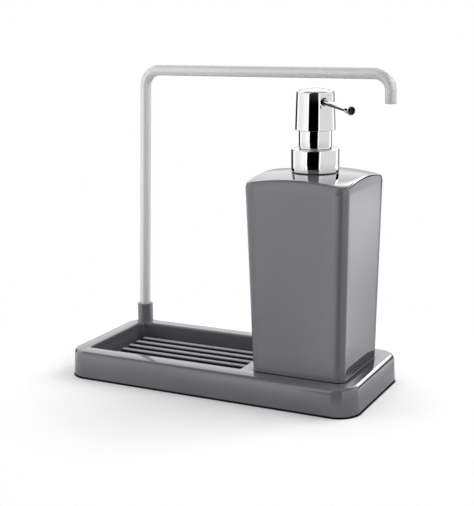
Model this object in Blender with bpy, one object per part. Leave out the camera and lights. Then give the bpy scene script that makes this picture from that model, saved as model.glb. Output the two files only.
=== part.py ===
"""Sink-side soap dispenser: a moulded tray with a ribbed dish, a bent towel rail and a square pump bottle.

Metres, +Z up. The origin is the middle of the tray's plan, on the surface that the feet stand on.
The length runs along X with the bottle at +X, and the rail stands along the back, at +Y.
"""
import math

import bmesh
import bpy
from mathutils import Matrix, Vector

# Clearances shared by pieces that seat on, fit in or slide through one another
FIT_GAP = 0.0003
SEAT_GAP = 0.0003
CUT_OVERRUN = 0.001
WELD_OVERLAP = 0.0003
MERGE_DISTANCE = 0.000001

# Tray
TRAY_LENGTH = 0.2187
TRAY_DEPTH = 0.0979
TRAY_HEIGHT = 0.0190
TRAY_CORNER = 0.0151
TRAY_DRAFT = 0.0006
TRAY_TOP_ROUND = 0.0030
TRAY_FOOT_ROUND = 0.0015
TRAY_WALL = 0.0024

# Feet under the tray
FOOT_STAND = 0.0005
FOOT_RADIUS = 0.0040
FOOT_THICKNESS = 0.0015
FOOT_INSET = 0.0110

# Dish sunk in the tray's left part, and its ribs
RIM_LEFT = 0.0116
RIM_FRONT = 0.0131
RIM_BACK = 0.0119
DISH_LENGTH = 0.1214
DISH_CORNER = 0.0065
DISH_FRONT_CORNER = 0.0014
DISH_DRAFT = 0.0010
DISH_EDGE_ROUND = 0.0008
DISH_FLOOR_ROUND = 0.0012
DISH_FLOOR_HEIGHT = 0.0045
DISH_FLOOR_THICKNESS = 0.0024
RIB_COUNT = 7
RIB_PITCH = 0.0101
RIB_WIDTH = 0.0044
RIB_HEIGHT = 0.0045
RIB_TOP_ROUND = 0.0012
RIB_END_GAP = 0.0036

# Stiffening cells under the tray
CELL_SIZE = 0.0185
CELL_RIB = 0.0018
CELL_CORNER_KEEP = 0.0180

# Seat for the bottle in the deck
SEAT_DEPTH = 0.0008
SEAT_SIDE_GAP = 0.0004

# Bottle
BOTTLE_FROM_RIGHT = 0.04395
BOTTLE_FORWARD = 0.0039
BOTTLE_FOOT_WIDTH = 0.0657
BOTTLE_SHOULDER_WIDTH = 0.0723
BOTTLE_SHOULDER_HEIGHT = 0.1240
BOTTLE_HEIGHT = 0.1337
BOTTLE_CROWN = 0.0016
BOTTLE_CORNER_DROP = 0.0024
BOTTLE_EDGE = 0.0050
BOTTLE_BEVEL = 0.0005
BOTTLE_TOP_ROUND = 0.0016
BOTTLE_INNER_ROUND = 0.0008
BOTTLE_FOOT_ROUND = 0.0010
BOTTLE_WALL = 0.0020
BOTTLE_FLOOR = 0.0025
BOTTLE_FOOT_RIM = 0.0060
BOTTLE_FOOT_DISH = 0.0006
BOTTLE_FOOT_DISH_CORNER = 0.0012

# Neck and screw thread
NECK_RADIUS = 0.0124
NECK_BORE = 0.0102
NECK_HEIGHT = 0.0093
NECK_LIP_ROUND = 0.0004
THREAD_DEPTH = 0.0011
THREAD_PITCH = 0.0040
THREAD_ROOT_WIDTH = 0.0017
THREAD_CREST_WIDTH = 0.0008
THREAD_TURNS = 1
THREAD_START = 0.0036

# Collar: metal sleeve over the threaded closure
COLLAR_RADIUS = 0.0160
COLLAR_HEIGHT = 0.0154
COLLAR_WALL = 0.0006
COLLAR_TOP = 0.0008
COLLAR_EDGE_ROUND = 0.0008
CLOSURE_TOP = 0.0020
CLOSURE_RAISE = 0.0005

# Gasket under the pump's flange
GASKET_THICKNESS = 0.0012
GASKET_WIDTH = 0.0042

# Pump cylinder with its flange, ball cage and dip tube socket
CYLINDER_RADIUS = 0.0086
CYLINDER_WALL = 0.0010
CYLINDER_LENGTH = 0.0400
FLANGE_THICKNESS = 0.0011
TAIL_RADIUS = 0.0046
TAIL_LENGTH = 0.0165
TAIL_TAPER = 0.0040
BALL_RADIUS = 0.0024
BALL_PLAY = 0.0006
CAGE_HEIGHT = 0.0047
CAGE_LIP_THICKNESS = 0.0008
CAGE_LIP_RADIUS = 0.0021
SEAT_HOLE_RADIUS = 0.0016
SEAT_HOLE_LENGTH = 0.0016
TUBE_RADIUS = 0.0030
TUBE_WALL = 0.0010
TUBE_FLOOR_GAP = 0.0022

# Guide cap and the bright chimney sleeve over it
CHIMNEY_RADIUS = 0.0110
CHIMNEY_WALL = 0.0004
CHIMNEY_HEIGHT = 0.0144
CHIMNEY_LIP = 0.0036
CHIMNEY_EDGE_ROUND = 0.0004
GUIDE_WALL = 0.0014
GUIDE_TOP = 0.0016
GUIDE_SLEEVE_WALL = 0.0013
GUIDE_SLEEVE_LENGTH = 0.0164

# Stem, piston and spring
STROKE = 0.0120
STEM_RADIUS = 0.0039
STEM_BORE = 0.0022
STEM_ENGAGEMENT = 0.0035
STEM_SHOULDER_RADIUS = 0.0054
STEM_SHOULDER_THICKNESS = 0.0015
PISTON_HEIGHT = 0.0086
PISTON_LIP_HEIGHT = 0.0018
PISTON_WAIST = 0.0010
PLUG_FLANGE_RADIUS = 0.0064
PLUG_FLANGE_THICKNESS = 0.0024
PLUG_SHANK_LENGTH = 0.0080
PLUG_PILOT_RADIUS = 0.0034
PLUG_PILOT_LENGTH = 0.0043
SPRING_RADIUS = 0.0050
SPRING_WIRE_RADIUS = 0.0004
SPRING_TURNS = 7
SPRING_STEPS = 9
SPRING_SIDES = 6

# Pump head
HEAD_GAP_ABOVE_COLLAR = 0.0123
HEAD_BOTTOM_RADIUS = 0.01343
HEAD_TOP_RADIUS = 0.01250
HEAD_HEIGHT = 0.0257
HEAD_DOME = 0.0018
HEAD_EDGE_ROUND = 0.0015
HEAD_WALL = 0.0008
HUB_RADIUS = 0.0080
HUB_HEIGHT = 0.0080
HUB_CHAMBER_RADIUS = 0.0030
HUB_CHAMBER_HEIGHT = 0.0026
WEB_THICKNESS = 0.0016
WEB_CLEARANCE = 0.0004

# Spout, its direction measured from straight ahead (-Y) towards +X
SPOUT_DIRECTION = math.radians(49)
SPOUT_FALL = math.radians(4.7)
SPOUT_REACH = 0.0494
SPOUT_END_DROP = 0.0096
SPOUT_INNER_REACH = 0.0049
SPOUT_ROOT_RADIUS = 0.00215
SPOUT_END_RADIUS = 0.00167
SPOUT_BORE = 0.0010
SPOUT_HOLE_GAP = 0.0005
SPOUT_PORT_RADIUS = 0.0012
TIP_LENGTH = 0.0050
TIP_BACK_RADIUS = 0.0025
TIP_MOUTH_RADIUS = 0.0030
TIP_MOUTH_BORE = 0.0025
TIP_SOCKET_DEPTH = 0.0022
TIP_SOCKET_FLARE = 0.0001
TIP_CUP_DEPTH = 0.0020

# Towel rail and the socket moulded on the tray
RAIL_RADIUS = 0.0040
RAIL_WALL = 0.0010
RAIL_FROM_LEFT = 0.01235
RAIL_FROM_BACK = 0.00695
RAIL_ARM_HEIGHT = 0.2153
RAIL_SPAN = 0.1990
RAIL_LEAN = math.radians(1.85)
RAIL_BEND_RADIUS = 0.0120
RAIL_DROP = 0.0205
RAIL_PLUG_LENGTH = 0.0060
SOCKET_RADIUS = 0.0059
SOCKET_HEIGHT = 0.0145
SOCKET_EDGE_ROUND = 0.0004
SOCKET_BORE_FLOOR = 0.0045

# Facets
FINE_STEPS = 32
PLAIN_STEPS = 24
SMALL_STEPS = 16
CORNER_STEPS = 8
BOTTLE_CORNER_STEPS = 6
BOTTLE_SIDE_POINTS = 5
ROUND_STEPS = 3
DOME_STEPS = 4
BEVEL_STEPS = 3
RIB_END_STEPS = 3
RIB_TOP_STEPS = 2
BEND_STEPS = 8
THREAD_STEPS = 24
SHARP_ANGLE = math.radians(30)

# Finishes: colour, roughness, metallic
GREY_GLOSS = ((0.160, 0.158, 0.172), 0.16, 0.0)
RAIL_SATIN = ((0.520, 0.520, 0.530), 0.38, 0.0)
BRIGHT_CHROME = ((0.880, 0.880, 0.890), 0.04, 1.0)
WHITE_PLASTIC = ((0.780, 0.780, 0.770), 0.40, 0.0)
CLEAR_PLASTIC = ((0.720, 0.740, 0.750), 0.25, 0.0)
DARK_RUBBER = ((0.035, 0.035, 0.037), 0.80, 0.0)
STEEL = ((0.560, 0.560, 0.560), 0.22, 1.0)

# Heights and places that follow from the sizes above
TRAY_TOP = FOOT_STAND + TRAY_HEIGHT
DISH_LEFT = -TRAY_LENGTH / 2 + RIM_LEFT
DISH_RIGHT = DISH_LEFT + DISH_LENGTH
DISH_FRONT = -TRAY_DEPTH / 2 + RIM_FRONT
DISH_BACK = TRAY_DEPTH / 2 - RIM_BACK
DISH_FLOOR = FOOT_STAND + DISH_FLOOR_HEIGHT
BOTTLE_X = TRAY_LENGTH / 2 - BOTTLE_FROM_RIGHT
BOTTLE_Y = -BOTTLE_FORWARD
BOTTLE_FOOT = TRAY_TOP - SEAT_DEPTH + SEAT_GAP
BOTTLE_APEX = BOTTLE_FOOT + BOTTLE_HEIGHT
NECK_TOP = BOTTLE_APEX - BOTTLE_CROWN * (2 * NECK_RADIUS / BOTTLE_SHOULDER_WIDTH) ** 2 + NECK_HEIGHT
RAIL_X = -TRAY_LENGTH / 2 + RAIL_FROM_LEFT
RAIL_Y = TRAY_DEPTH / 2 - RAIL_FROM_BACK
RAIL_DROP_END = RAIL_ARM_HEIGHT - RAIL_DROP

CLOSURE_RADIUS = COLLAR_RADIUS - COLLAR_WALL - FIT_GAP
CLOSURE_BORE = NECK_RADIUS + THREAD_DEPTH + FIT_GAP
GASKET_BOTTOM = NECK_TOP + SEAT_GAP
FLANGE_BOTTOM = GASKET_BOTTOM + GASKET_THICKNESS + SEAT_GAP
FLANGE_TOP = FLANGE_BOTTOM + FLANGE_THICKNESS
FLANGE_RADIUS = CLOSURE_BORE - FIT_GAP
CLOSURE_CEILING = FLANGE_TOP + SEAT_GAP
COLLAR_BOTTOM = CLOSURE_CEILING + CLOSURE_TOP + SEAT_GAP + COLLAR_TOP - COLLAR_HEIGHT
COLLAR_SHOULDER = COLLAR_BOTTOM + COLLAR_HEIGHT

CHIMNEY_BOTTOM = COLLAR_SHOULDER + SEAT_GAP
CHIMNEY_TOP = CHIMNEY_BOTTOM + CHIMNEY_HEIGHT
GUIDE_RADIUS = CHIMNEY_RADIUS - CHIMNEY_WALL - FIT_GAP
GUIDE_TOP_HEIGHT = CHIMNEY_TOP - CHIMNEY_WALL - SEAT_GAP
STEM_HOLE = STEM_RADIUS + FIT_GAP

HEAD_BOTTOM = COLLAR_SHOULDER + HEAD_GAP_ABOVE_COLLAR
HEAD_SHOULDER = HEAD_BOTTOM + HEAD_HEIGHT
HUB_BOTTOM = CHIMNEY_TOP + STROKE + FIT_GAP
STEM_TOP = HUB_BOTTOM + STEM_ENGAGEMENT
WEB_BOTTOM = HUB_BOTTOM + HUB_HEIGHT
SPOUT_END_HEIGHT = HEAD_SHOULDER - SPOUT_END_DROP

CYLINDER_BORE = CYLINDER_RADIUS - CYLINDER_WALL
CYLINDER_FLOOR = FLANGE_BOTTOM - CYLINDER_LENGTH + CYLINDER_WALL
CAGE_RADIUS = BALL_RADIUS + BALL_PLAY
CAGE_TOP = CYLINDER_FLOOR - CAGE_LIP_THICKNESS
CAGE_FLOOR = CAGE_TOP - CAGE_HEIGHT
SEAT_CONE_BOTTOM = CAGE_FLOOR - (CAGE_RADIUS - SEAT_HOLE_RADIUS)
TUBE_STOP = SEAT_CONE_BOTTOM - SEAT_HOLE_LENGTH
TAIL_BOTTOM = CYLINDER_FLOOR - TAIL_LENGTH
BALL_CENTRE = SEAT_CONE_BOTTOM - SEAT_HOLE_RADIUS + (BALL_RADIUS + SEAT_GAP) * math.sqrt(2)

GUIDE_CEILING = GUIDE_TOP_HEIGHT - GUIDE_TOP
GUIDE_SLEEVE_BOTTOM = GUIDE_CEILING - GUIDE_SLEEVE_LENGTH
STEM_SHOULDER_TOP = GUIDE_SLEEVE_BOTTOM - SEAT_GAP
STEM_SHOULDER_BOTTOM = STEM_SHOULDER_TOP - STEM_SHOULDER_THICKNESS
PISTON_TOP = STEM_SHOULDER_BOTTOM - SEAT_GAP
PISTON_BOTTOM = PISTON_TOP - PISTON_HEIGHT
PLUG_FLANGE_TOP = PISTON_BOTTOM - SEAT_GAP
PLUG_FLANGE_BOTTOM = PLUG_FLANGE_TOP - PLUG_FLANGE_THICKNESS
SPRING_BOTTOM = CYLINDER_FLOOR + SEAT_GAP
SPRING_TOP = PLUG_FLANGE_BOTTOM - SEAT_GAP


def clear_scene():
    for old in list(bpy.data.objects):
        bpy.data.objects.remove(old, do_unlink=True)


def make_material(name, finish):
    colour, roughness, metallic = finish
    material = bpy.data.materials.new(name)
    material.use_nodes = True
    shader = material.node_tree.nodes["Principled BSDF"]
    shader.inputs["Base Color"].default_value = (*colour, 1.0)
    shader.inputs["Roughness"].default_value = roughness
    shader.inputs["Metallic"].default_value = metallic
    return material


def make_object(name, bm, finish=None, parent=None, location=(0, 0, 0)):
    """Turns a bmesh into a smooth-shaded object, or into a hidden cutter when it has no finish."""
    bmesh.ops.remove_doubles(bm, verts=bm.verts, dist=MERGE_DISTANCE)
    bmesh.ops.recalc_face_normals(bm, faces=bm.faces)
    mesh = bpy.data.meshes.new(name)
    bm.to_mesh(mesh)
    bm.free()
    mesh.shade_smooth()
    mesh.set_sharp_from_angle(angle=SHARP_ANGLE)
    obj = bpy.data.objects.new(name, mesh)
    bpy.context.collection.objects.link(obj)
    obj.location = location
    obj.parent = parent
    if finish is None:
        obj.hide_render = True
        obj.display_type = "WIRE"
    else:
        mesh.materials.append(make_material(name, finish))
    return obj


def make_axis(name, location):
    axis = bpy.data.objects.new(name, None)
    bpy.context.collection.objects.link(axis)
    axis.location = location
    return axis


def apply_boolean(target, tool, operation):
    modifier = target.modifiers.new(tool.name, "BOOLEAN")
    modifier.operation = operation
    modifier.solver = "EXACT"
    modifier.object = tool


def rounded_outline(half_x, half_y, radius, corner_steps, side_points=0, front_radius=None):
    """Points of a rounded rectangle, counter-clockwise, starting on its +X side.

    The two corners towards -Y can have a radius of their own.
    """
    points = []
    front = radius if front_radius is None else front_radius
    for quarter, corner in enumerate((radius, radius, front, front)):
        start = quarter * math.pi / 2
        sign_x = 1 if quarter in (0, 3) else -1
        sign_y = 1 if quarter in (0, 1) else -1
        for step in range(corner_steps + 1):
            angle = start + step / corner_steps * math.pi / 2
            x = sign_x * (half_x - corner) + corner * math.cos(angle)
            y = sign_y * (half_y - corner) + corner * math.sin(angle)
            points.append((x, y))
    if side_points:
        points = add_side_points(points, corner_steps + 1, side_points)
    return points


def add_side_points(points, corner_size, side_points):
    """Divides each straight side, and turns the list so that it starts in the middle of the +X side."""
    full = []
    for quarter in range(4):
        corner = points[quarter * corner_size:(quarter + 1) * corner_size]
        following = points[((quarter + 1) * corner_size) % len(points)]
        last = corner[-1]
        full.extend(corner)
        for k in range(1, side_points + 1):
            share = k / (side_points + 1)
            x = last[0] + (following[0] - last[0]) * share
            y = last[1] + (following[1] - last[1]) * share
            full.append((x, y))
    turn = side_points // 2 + 1
    return full[-turn:] + full[:-turn]


def quarter_round(radius, steps):
    """Inset and rise along a quarter circle, from the bottom of a wall's edge to its top."""
    pairs = []
    for step in range(steps + 1):
        angle = step / steps * math.pi / 2
        pairs.append((radius * (1 - math.cos(angle)), radius * math.sin(angle)))
    return pairs


def loft(rings, closed=False):
    """Skins a list of point rings of equal count, with flat end caps or joined into a loop."""
    bm = bmesh.new()
    rows = []
    for ring in rings:
        rows.append([bm.verts.new(point) for point in ring])
    pairs = list(zip(rows, rows[1:]))
    if closed:
        pairs.append((rows[-1], rows[0]))
    count = len(rows[0])
    for low, high in pairs:
        for k in range(count):
            following = (k + 1) % count
            bm.faces.new((low[k], low[following], high[following], high[k]))
    if not closed:
        bm.faces.new(list(reversed(rows[0])))
        bm.faces.new(rows[-1])
    return bm


def turned(profile, steps):
    """Spins a profile of (radius, height) points about Z. It is closed unless both ends are on the axis."""
    bm = bmesh.new()
    verts = [bm.verts.new((radius, 0, height)) for radius, height in profile]
    edges = [bm.edges.new(pair) for pair in zip(verts, verts[1:])]
    on_axis = profile[0][0] == 0 and profile[-1][0] == 0
    if not on_axis:
        edges.append(bm.edges.new((verts[-1], verts[0])))
    bmesh.ops.spin(
        bm,
        geom=verts + edges,
        cent=(0, 0, 0),
        axis=(0, 0, 1),
        angle=2 * math.pi,
        steps=steps,
        use_merge=True,
    )
    return bm


def box_mesh(bm, low, high):
    size = Vector(high) - Vector(low)
    centre = (Vector(high) + Vector(low)) / 2
    matrix = Matrix.Translation(centre) @ Matrix.Diagonal((*size, 1))
    bmesh.ops.create_cube(bm, size=1, matrix=matrix)


def cylinder_mesh(radius, low, high, steps):
    return turned([(0, low), (radius, low), (radius, high), (0, high)], steps)


def swept_ring(centre, forward, side, radius, sides):
    up = forward.cross(side)
    ring = []
    for k in range(sides):
        angle = 2 * math.pi * k / sides
        ring.append(centre + radius * (math.cos(angle) * side + math.sin(angle) * up))
    return ring


# Tray
def tray_outline(inset, height):
    outline = rounded_outline(
        TRAY_LENGTH / 2 - inset, TRAY_DEPTH / 2 - inset, TRAY_CORNER - inset, CORNER_STEPS
    )
    return [(x, y, height) for x, y in outline]


def tray_body():
    rings = []
    for inset, rise in quarter_round(TRAY_FOOT_ROUND, ROUND_STEPS):
        rings.append(tray_outline(TRAY_FOOT_ROUND - rise, FOOT_STAND + inset))
    for inset, rise in quarter_round(TRAY_TOP_ROUND, ROUND_STEPS + 1):
        rings.append(tray_outline(TRAY_DRAFT + inset, TRAY_TOP - TRAY_TOP_ROUND + rise))
    return loft(rings)


def dish_outline(inset, height):
    half_x = (DISH_RIGHT - DISH_LEFT) / 2 - inset
    half_y = (DISH_BACK - DISH_FRONT) / 2 - inset
    centre_x = (DISH_RIGHT + DISH_LEFT) / 2
    centre_y = (DISH_BACK + DISH_FRONT) / 2
    front = max(DISH_FRONT_CORNER - inset, DISH_FRONT_CORNER / 2)
    outline = rounded_outline(half_x, half_y, DISH_CORNER - inset, CORNER_STEPS, front_radius=front)
    return [(centre_x + x, centre_y + y, height) for x, y in outline]


def dish_cutter():
    rings = []
    wall_drop = TRAY_TOP - DISH_EDGE_ROUND
    for inset, rise in quarter_round(DISH_FLOOR_ROUND, ROUND_STEPS):
        rings.append(dish_outline(DISH_DRAFT + DISH_FLOOR_ROUND - rise, DISH_FLOOR + inset))
    for inset, rise in quarter_round(DISH_EDGE_ROUND, ROUND_STEPS):
        rings.append(dish_outline(-inset, wall_drop + rise))
    rings.append(dish_outline(-DISH_EDGE_ROUND, TRAY_TOP + CUT_OVERRUN))
    return loft(rings)


def dish_ribs():
    """Lengthwise ribs, standing free of the dish's walls all round."""
    bm = bmesh.new()
    floor_inset = DISH_DRAFT + RIB_END_GAP
    half_x = (DISH_RIGHT - DISH_LEFT) / 2 - floor_inset
    centre_x = (DISH_RIGHT + DISH_LEFT) / 2
    centre_y = (DISH_BACK + DISH_FRONT) / 2
    rib_top = DISH_FLOOR + RIB_HEIGHT
    levels = [(0, DISH_FLOOR - WELD_OVERLAP)]
    for inset, rise in quarter_round(RIB_TOP_ROUND, RIB_TOP_STEPS):
        levels.append((inset, rib_top - RIB_TOP_ROUND + rise))
    for index in range(RIB_COUNT):
        y = centre_y + (index - (RIB_COUNT - 1) / 2) * RIB_PITCH
        rings = []
        for inset, height in levels:
            half_y = RIB_WIDTH / 2 - inset
            outline = rounded_outline(half_x - inset, half_y, half_y, RIB_END_STEPS)
            rings.append([(centre_x + px, y + py, height) for px, py in outline])
        rib = loft(rings)
        mesh = bpy.data.meshes.new("rib")
        rib.to_mesh(mesh)
        rib.free()
        bm.from_mesh(mesh)
        bpy.data.meshes.remove(mesh)
    return bm


def row_of_cells(low, high):
    """Splits a span into equal cells of about CELL_SIZE with ribs between them."""
    count = max(1, round((high - low + CELL_RIB) / (CELL_SIZE + CELL_RIB)))
    size = (high - low - (count - 1) * CELL_RIB) / count
    cells = []
    for index in range(count):
        start = low + index * (size + CELL_RIB)
        cells.append((start, start + size))
    return cells


def underside_cells():
    """Hollow cells under the deck and under the rims, kept away from the four solid corners."""
    bm = bmesh.new()
    wall = TRAY_WALL + TRAY_DRAFT
    bottom = FOOT_STAND - CUT_OVERRUN
    top = TRAY_TOP - TRAY_WALL - SEAT_DEPTH
    left = -TRAY_LENGTH / 2 + wall
    right = TRAY_LENGTH / 2 - wall
    front = -TRAY_DEPTH / 2 + wall
    back = TRAY_DEPTH / 2 - wall
    deck_left = DISH_RIGHT + TRAY_WALL
    corner_left = -TRAY_LENGTH / 2 + CELL_CORNER_KEEP
    corner_right = TRAY_LENGTH / 2 - CELL_CORNER_KEEP
    corner_front = -TRAY_DEPTH / 2 + CELL_CORNER_KEEP
    corner_back = TRAY_DEPTH / 2 - CELL_CORNER_KEEP
    for x0, x1 in row_of_cells(deck_left, corner_right - CELL_RIB):
        for y0, y1 in row_of_cells(front, back):
            box_mesh(bm, (x0, y0, bottom), (x1, y1, top))
    for y0, y1 in row_of_cells(corner_front, corner_back):
        box_mesh(bm, (corner_right, y0, bottom), (right, y1, top))
        box_mesh(bm, (left, y0, bottom), (DISH_LEFT - TRAY_WALL, y1, top))
    for x0, x1 in row_of_cells(corner_left, deck_left - CELL_RIB):
        box_mesh(bm, (x0, front, bottom), (x1, DISH_FRONT - TRAY_WALL, top))
        box_mesh(bm, (x0, DISH_BACK + TRAY_WALL, bottom), (x1, back, top))
    return bm


def floor_hollow():
    """Shallow hollow that leaves the dish's floor as thick as the walls."""
    half_x = (DISH_RIGHT - DISH_LEFT) / 2 - DISH_CORNER
    half_y = (DISH_BACK - DISH_FRONT) / 2 - DISH_CORNER
    centre_x = (DISH_RIGHT + DISH_LEFT) / 2
    centre_y = (DISH_BACK + DISH_FRONT) / 2
    bm = bmesh.new()
    low = (centre_x - half_x, centre_y - half_y, FOOT_STAND - CUT_OVERRUN)
    high = (centre_x + half_x, centre_y + half_y, DISH_FLOOR - DISH_FLOOR_THICKNESS)
    box_mesh(bm, low, high)
    return bm


def bottle_seat():
    half = BOTTLE_FOOT_WIDTH / 2 + SEAT_SIDE_GAP
    outline = rounded_outline(half, half, BOTTLE_EDGE + SEAT_SIDE_GAP, CORNER_STEPS)
    low = [(BOTTLE_X + x, BOTTLE_Y + y, TRAY_TOP - SEAT_DEPTH) for x, y in outline]
    high = [(BOTTLE_X + x, BOTTLE_Y + y, TRAY_TOP + CUT_OVERRUN) for x, y in outline]
    return loft([low, high])


def foot_places():
    x = TRAY_LENGTH / 2 - FOOT_INSET
    y = TRAY_DEPTH / 2 - FOOT_INSET
    return {
        "foot_front_left": (-x, -y),
        "foot_front_right": (x, -y),
        "foot_back_left": (-x, y),
        "foot_back_right": (x, y),
    }


def foot_pockets():
    bm = bmesh.new()
    low = FOOT_STAND - CUT_OVERRUN
    high = FOOT_THICKNESS + SEAT_GAP
    for x, y in foot_places().values():
        matrix = Matrix.Translation((x, y, (low + high) / 2))
        bmesh.ops.create_cone(
            bm,
            cap_ends=True,
            segments=SMALL_STEPS,
            radius1=FOOT_RADIUS + FIT_GAP,
            radius2=FOOT_RADIUS + FIT_GAP,
            depth=high - low,
            matrix=matrix,
        )
    return bm


def make_tray():
    tray = make_object("tray", tray_body(), GREY_GLOSS)
    socket_top = TRAY_TOP + SOCKET_HEIGHT
    edge = SOCKET_EDGE_ROUND
    socket_profile = [
        (0, DISH_FLOOR),
        (SOCKET_RADIUS, DISH_FLOOR),
        (SOCKET_RADIUS, socket_top - edge),
        (SOCKET_RADIUS - edge, socket_top),
        (0, socket_top),
    ]
    socket = make_object("join_socket", turned(socket_profile, FINE_STEPS))
    socket.location = (RAIL_X, RAIL_Y, 0)
    bore_radius = RAIL_RADIUS + FIT_GAP
    bore_bottom = FOOT_STAND + SOCKET_BORE_FLOOR
    bore_bm = cylinder_mesh(bore_radius, bore_bottom, socket_top + CUT_OVERRUN, PLAIN_STEPS)
    bore = make_object("cut_socket_bore", bore_bm)
    bore.location = (RAIL_X, RAIL_Y, 0)
    apply_boolean(tray, make_object("cut_dish", dish_cutter()), "DIFFERENCE")
    apply_boolean(tray, make_object("join_ribs", dish_ribs()), "UNION")
    apply_boolean(tray, socket, "UNION")
    apply_boolean(tray, bore, "DIFFERENCE")
    apply_boolean(tray, make_object("cut_bottle_seat", bottle_seat()), "DIFFERENCE")
    apply_boolean(tray, make_object("cut_cells", underside_cells()), "DIFFERENCE")
    apply_boolean(tray, make_object("cut_floor_hollow", floor_hollow()), "DIFFERENCE")
    apply_boolean(tray, make_object("cut_foot_pockets", foot_pockets()), "DIFFERENCE")


def make_feet():
    for name, (x, y) in foot_places().items():
        bm = cylinder_mesh(FOOT_RADIUS, 0, FOOT_THICKNESS, SMALL_STEPS)
        make_object(name, bm, DARK_RUBBER, location=(x, y, 0))


# Towel rail
def rail_path():
    """Centre line of the rail: up, over to the right and down, in the rail's own frame.

    The tube stands upright in its socket. From the socket's rim it leans a little to the right.
    """
    bend = RAIL_BEND_RADIUS
    bend_height = RAIL_ARM_HEIGHT - bend
    lean_start = TRAY_TOP + SOCKET_HEIGHT
    lean_rise = bend_height + bend * math.sin(RAIL_LEAN) - lean_start
    first = Vector((lean_rise * math.tan(RAIL_LEAN) + bend * math.cos(RAIL_LEAN), 0, bend_height))
    second = Vector((RAIL_SPAN - bend, 0, bend_height))
    points = [Vector((0, 0, FOOT_STAND + SOCKET_BORE_FLOOR + SEAT_GAP)), Vector((0, 0, lean_start))]
    for centre, start, end in (
        (first, math.pi - RAIL_LEAN, math.pi / 2),
        (second, math.pi / 2, 0),
    ):
        for step in range(BEND_STEPS + 1):
            angle = start + (end - start) * step / BEND_STEPS
            points.append(centre + bend * Vector((math.cos(angle), 0, math.sin(angle))))
    points.append(Vector((RAIL_SPAN, 0, RAIL_DROP_END)))
    return points


def path_rings(points, radius, sides):
    """Rings square to a bent path, widened at each bend so that the tube keeps its thickness."""
    rings = []
    for index, centre in enumerate(points):
        before = points[max(index - 1, 0)]
        after = points[min(index + 1, len(points) - 1)]
        forward = (after - before).normalized()
        if 0 < index < len(points) - 1:
            half_turn = (after - centre).angle(centre - before) / 2
        else:
            half_turn = 0
        side = Vector((0, 1, 0))
        across = forward.cross(side)
        widening = 1 / math.cos(half_turn) - 1
        ring = swept_ring(centre, forward, side, radius, sides)
        rings.append([p + (p - centre).dot(across) * widening * across for p in ring])
    return rings


def make_rail():
    axis = make_axis("rail_axis", (RAIL_X, RAIL_Y, 0))
    points = rail_path()
    outer = path_rings(points, RAIL_RADIUS, SMALL_STEPS)
    inner = path_rings(points, RAIL_RADIUS - RAIL_WALL, SMALL_STEPS)
    make_object("towel_rail", loft(outer + inner[::-1], closed=True), RAIL_SATIN, axis)
    plug_radius = RAIL_RADIUS - RAIL_WALL - FIT_GAP
    plug_bm = cylinder_mesh(plug_radius, 0, RAIL_PLUG_LENGTH, SMALL_STEPS)
    place = (RAIL_SPAN, 0, RAIL_DROP_END)
    make_object("rail_end_plug", plug_bm, DARK_RUBBER, axis, place)


# Bottle
def bottle_half(height):
    """Half the bottle's width across its straight tapered sides, at a height above its foot."""
    foot = BOTTLE_FOOT_WIDTH / 2
    shoulder = BOTTLE_SHOULDER_WIDTH / 2
    return foot + (shoulder - foot) * height / BOTTLE_SHOULDER_HEIGHT


def crown_height(x, y):
    """Height of the domed top above the foot. It falls further at the four corners."""
    half = BOTTLE_SHOULDER_WIDTH / 2
    across = (x / half) ** 2
    along = (y / half) ** 2
    return BOTTLE_HEIGHT - BOTTLE_CROWN * (across + along) - BOTTLE_CORNER_DROP * across * along


def bottle_outline(half, radius):
    return rounded_outline(half, half, radius, BOTTLE_CORNER_STEPS, BOTTLE_SIDE_POINTS)


def side_ring(height, inset):
    outline = bottle_outline(bottle_half(height) - inset, BOTTLE_EDGE - inset)
    return [(x, y, height) for x, y in outline]


def foot_ring(inset, height):
    outline = bottle_outline(bottle_half(0) - inset, BOTTLE_FOOT_DISH_CORNER)
    return [(x, y, height) for x, y in outline]


def top_edge_rings(wall, bevel_steps, round_radius, round_steps):
    """Soft inward bevel above the shoulder, then the rounded edge that meets the domed top."""
    rings = []
    edge = BOTTLE_HEIGHT - BOTTLE_CROWN - round_radius
    for step in range(bevel_steps):
        share = step / bevel_steps
        inset = wall + BOTTLE_BEVEL * share ** 2
        level = BOTTLE_SHOULDER_HEIGHT + (edge - BOTTLE_SHOULDER_HEIGHT) * share
        ring = []
        for x, y in bottle_outline(bottle_half(level) - inset, BOTTLE_EDGE - inset):
            rise = crown_height(x, y) - wall - round_radius - BOTTLE_SHOULDER_HEIGHT
            ring.append((x, y, BOTTLE_SHOULDER_HEIGHT + rise * share))
        rings.append(ring)
    for round_inset, rise in quarter_round(round_radius, round_steps):
        inset = wall + BOTTLE_BEVEL + round_inset
        outline = bottle_outline(bottle_half(edge) - inset, BOTTLE_EDGE - inset)
        drop = wall + round_radius - rise
        rings.append([(x, y, crown_height(x, y) - drop) for x, y in outline])
    return rings


def crown_to_circle(square, circle_radius, wall):
    """Rings that change the crown's squarish outline into the neck's circle."""
    rings = []
    count = len(square)
    for step in range(1, DOME_STEPS + 1):
        share = step / DOME_STEPS
        ring = []
        for k, (x, y, _) in enumerate(square):
            angle = 2 * math.pi * k / count
            px = x + (circle_radius * math.cos(angle) - x) * share
            py = y + (circle_radius * math.sin(angle) - y) * share
            ring.append((px, py, crown_height(px, py) - wall))
        rings.append(ring)
    return rings


def circle_ring(radius, height, count):
    ring = []
    for k in range(count):
        angle = 2 * math.pi * k / count
        ring.append((radius * math.cos(angle), radius * math.sin(angle), height))
    return ring


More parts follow.
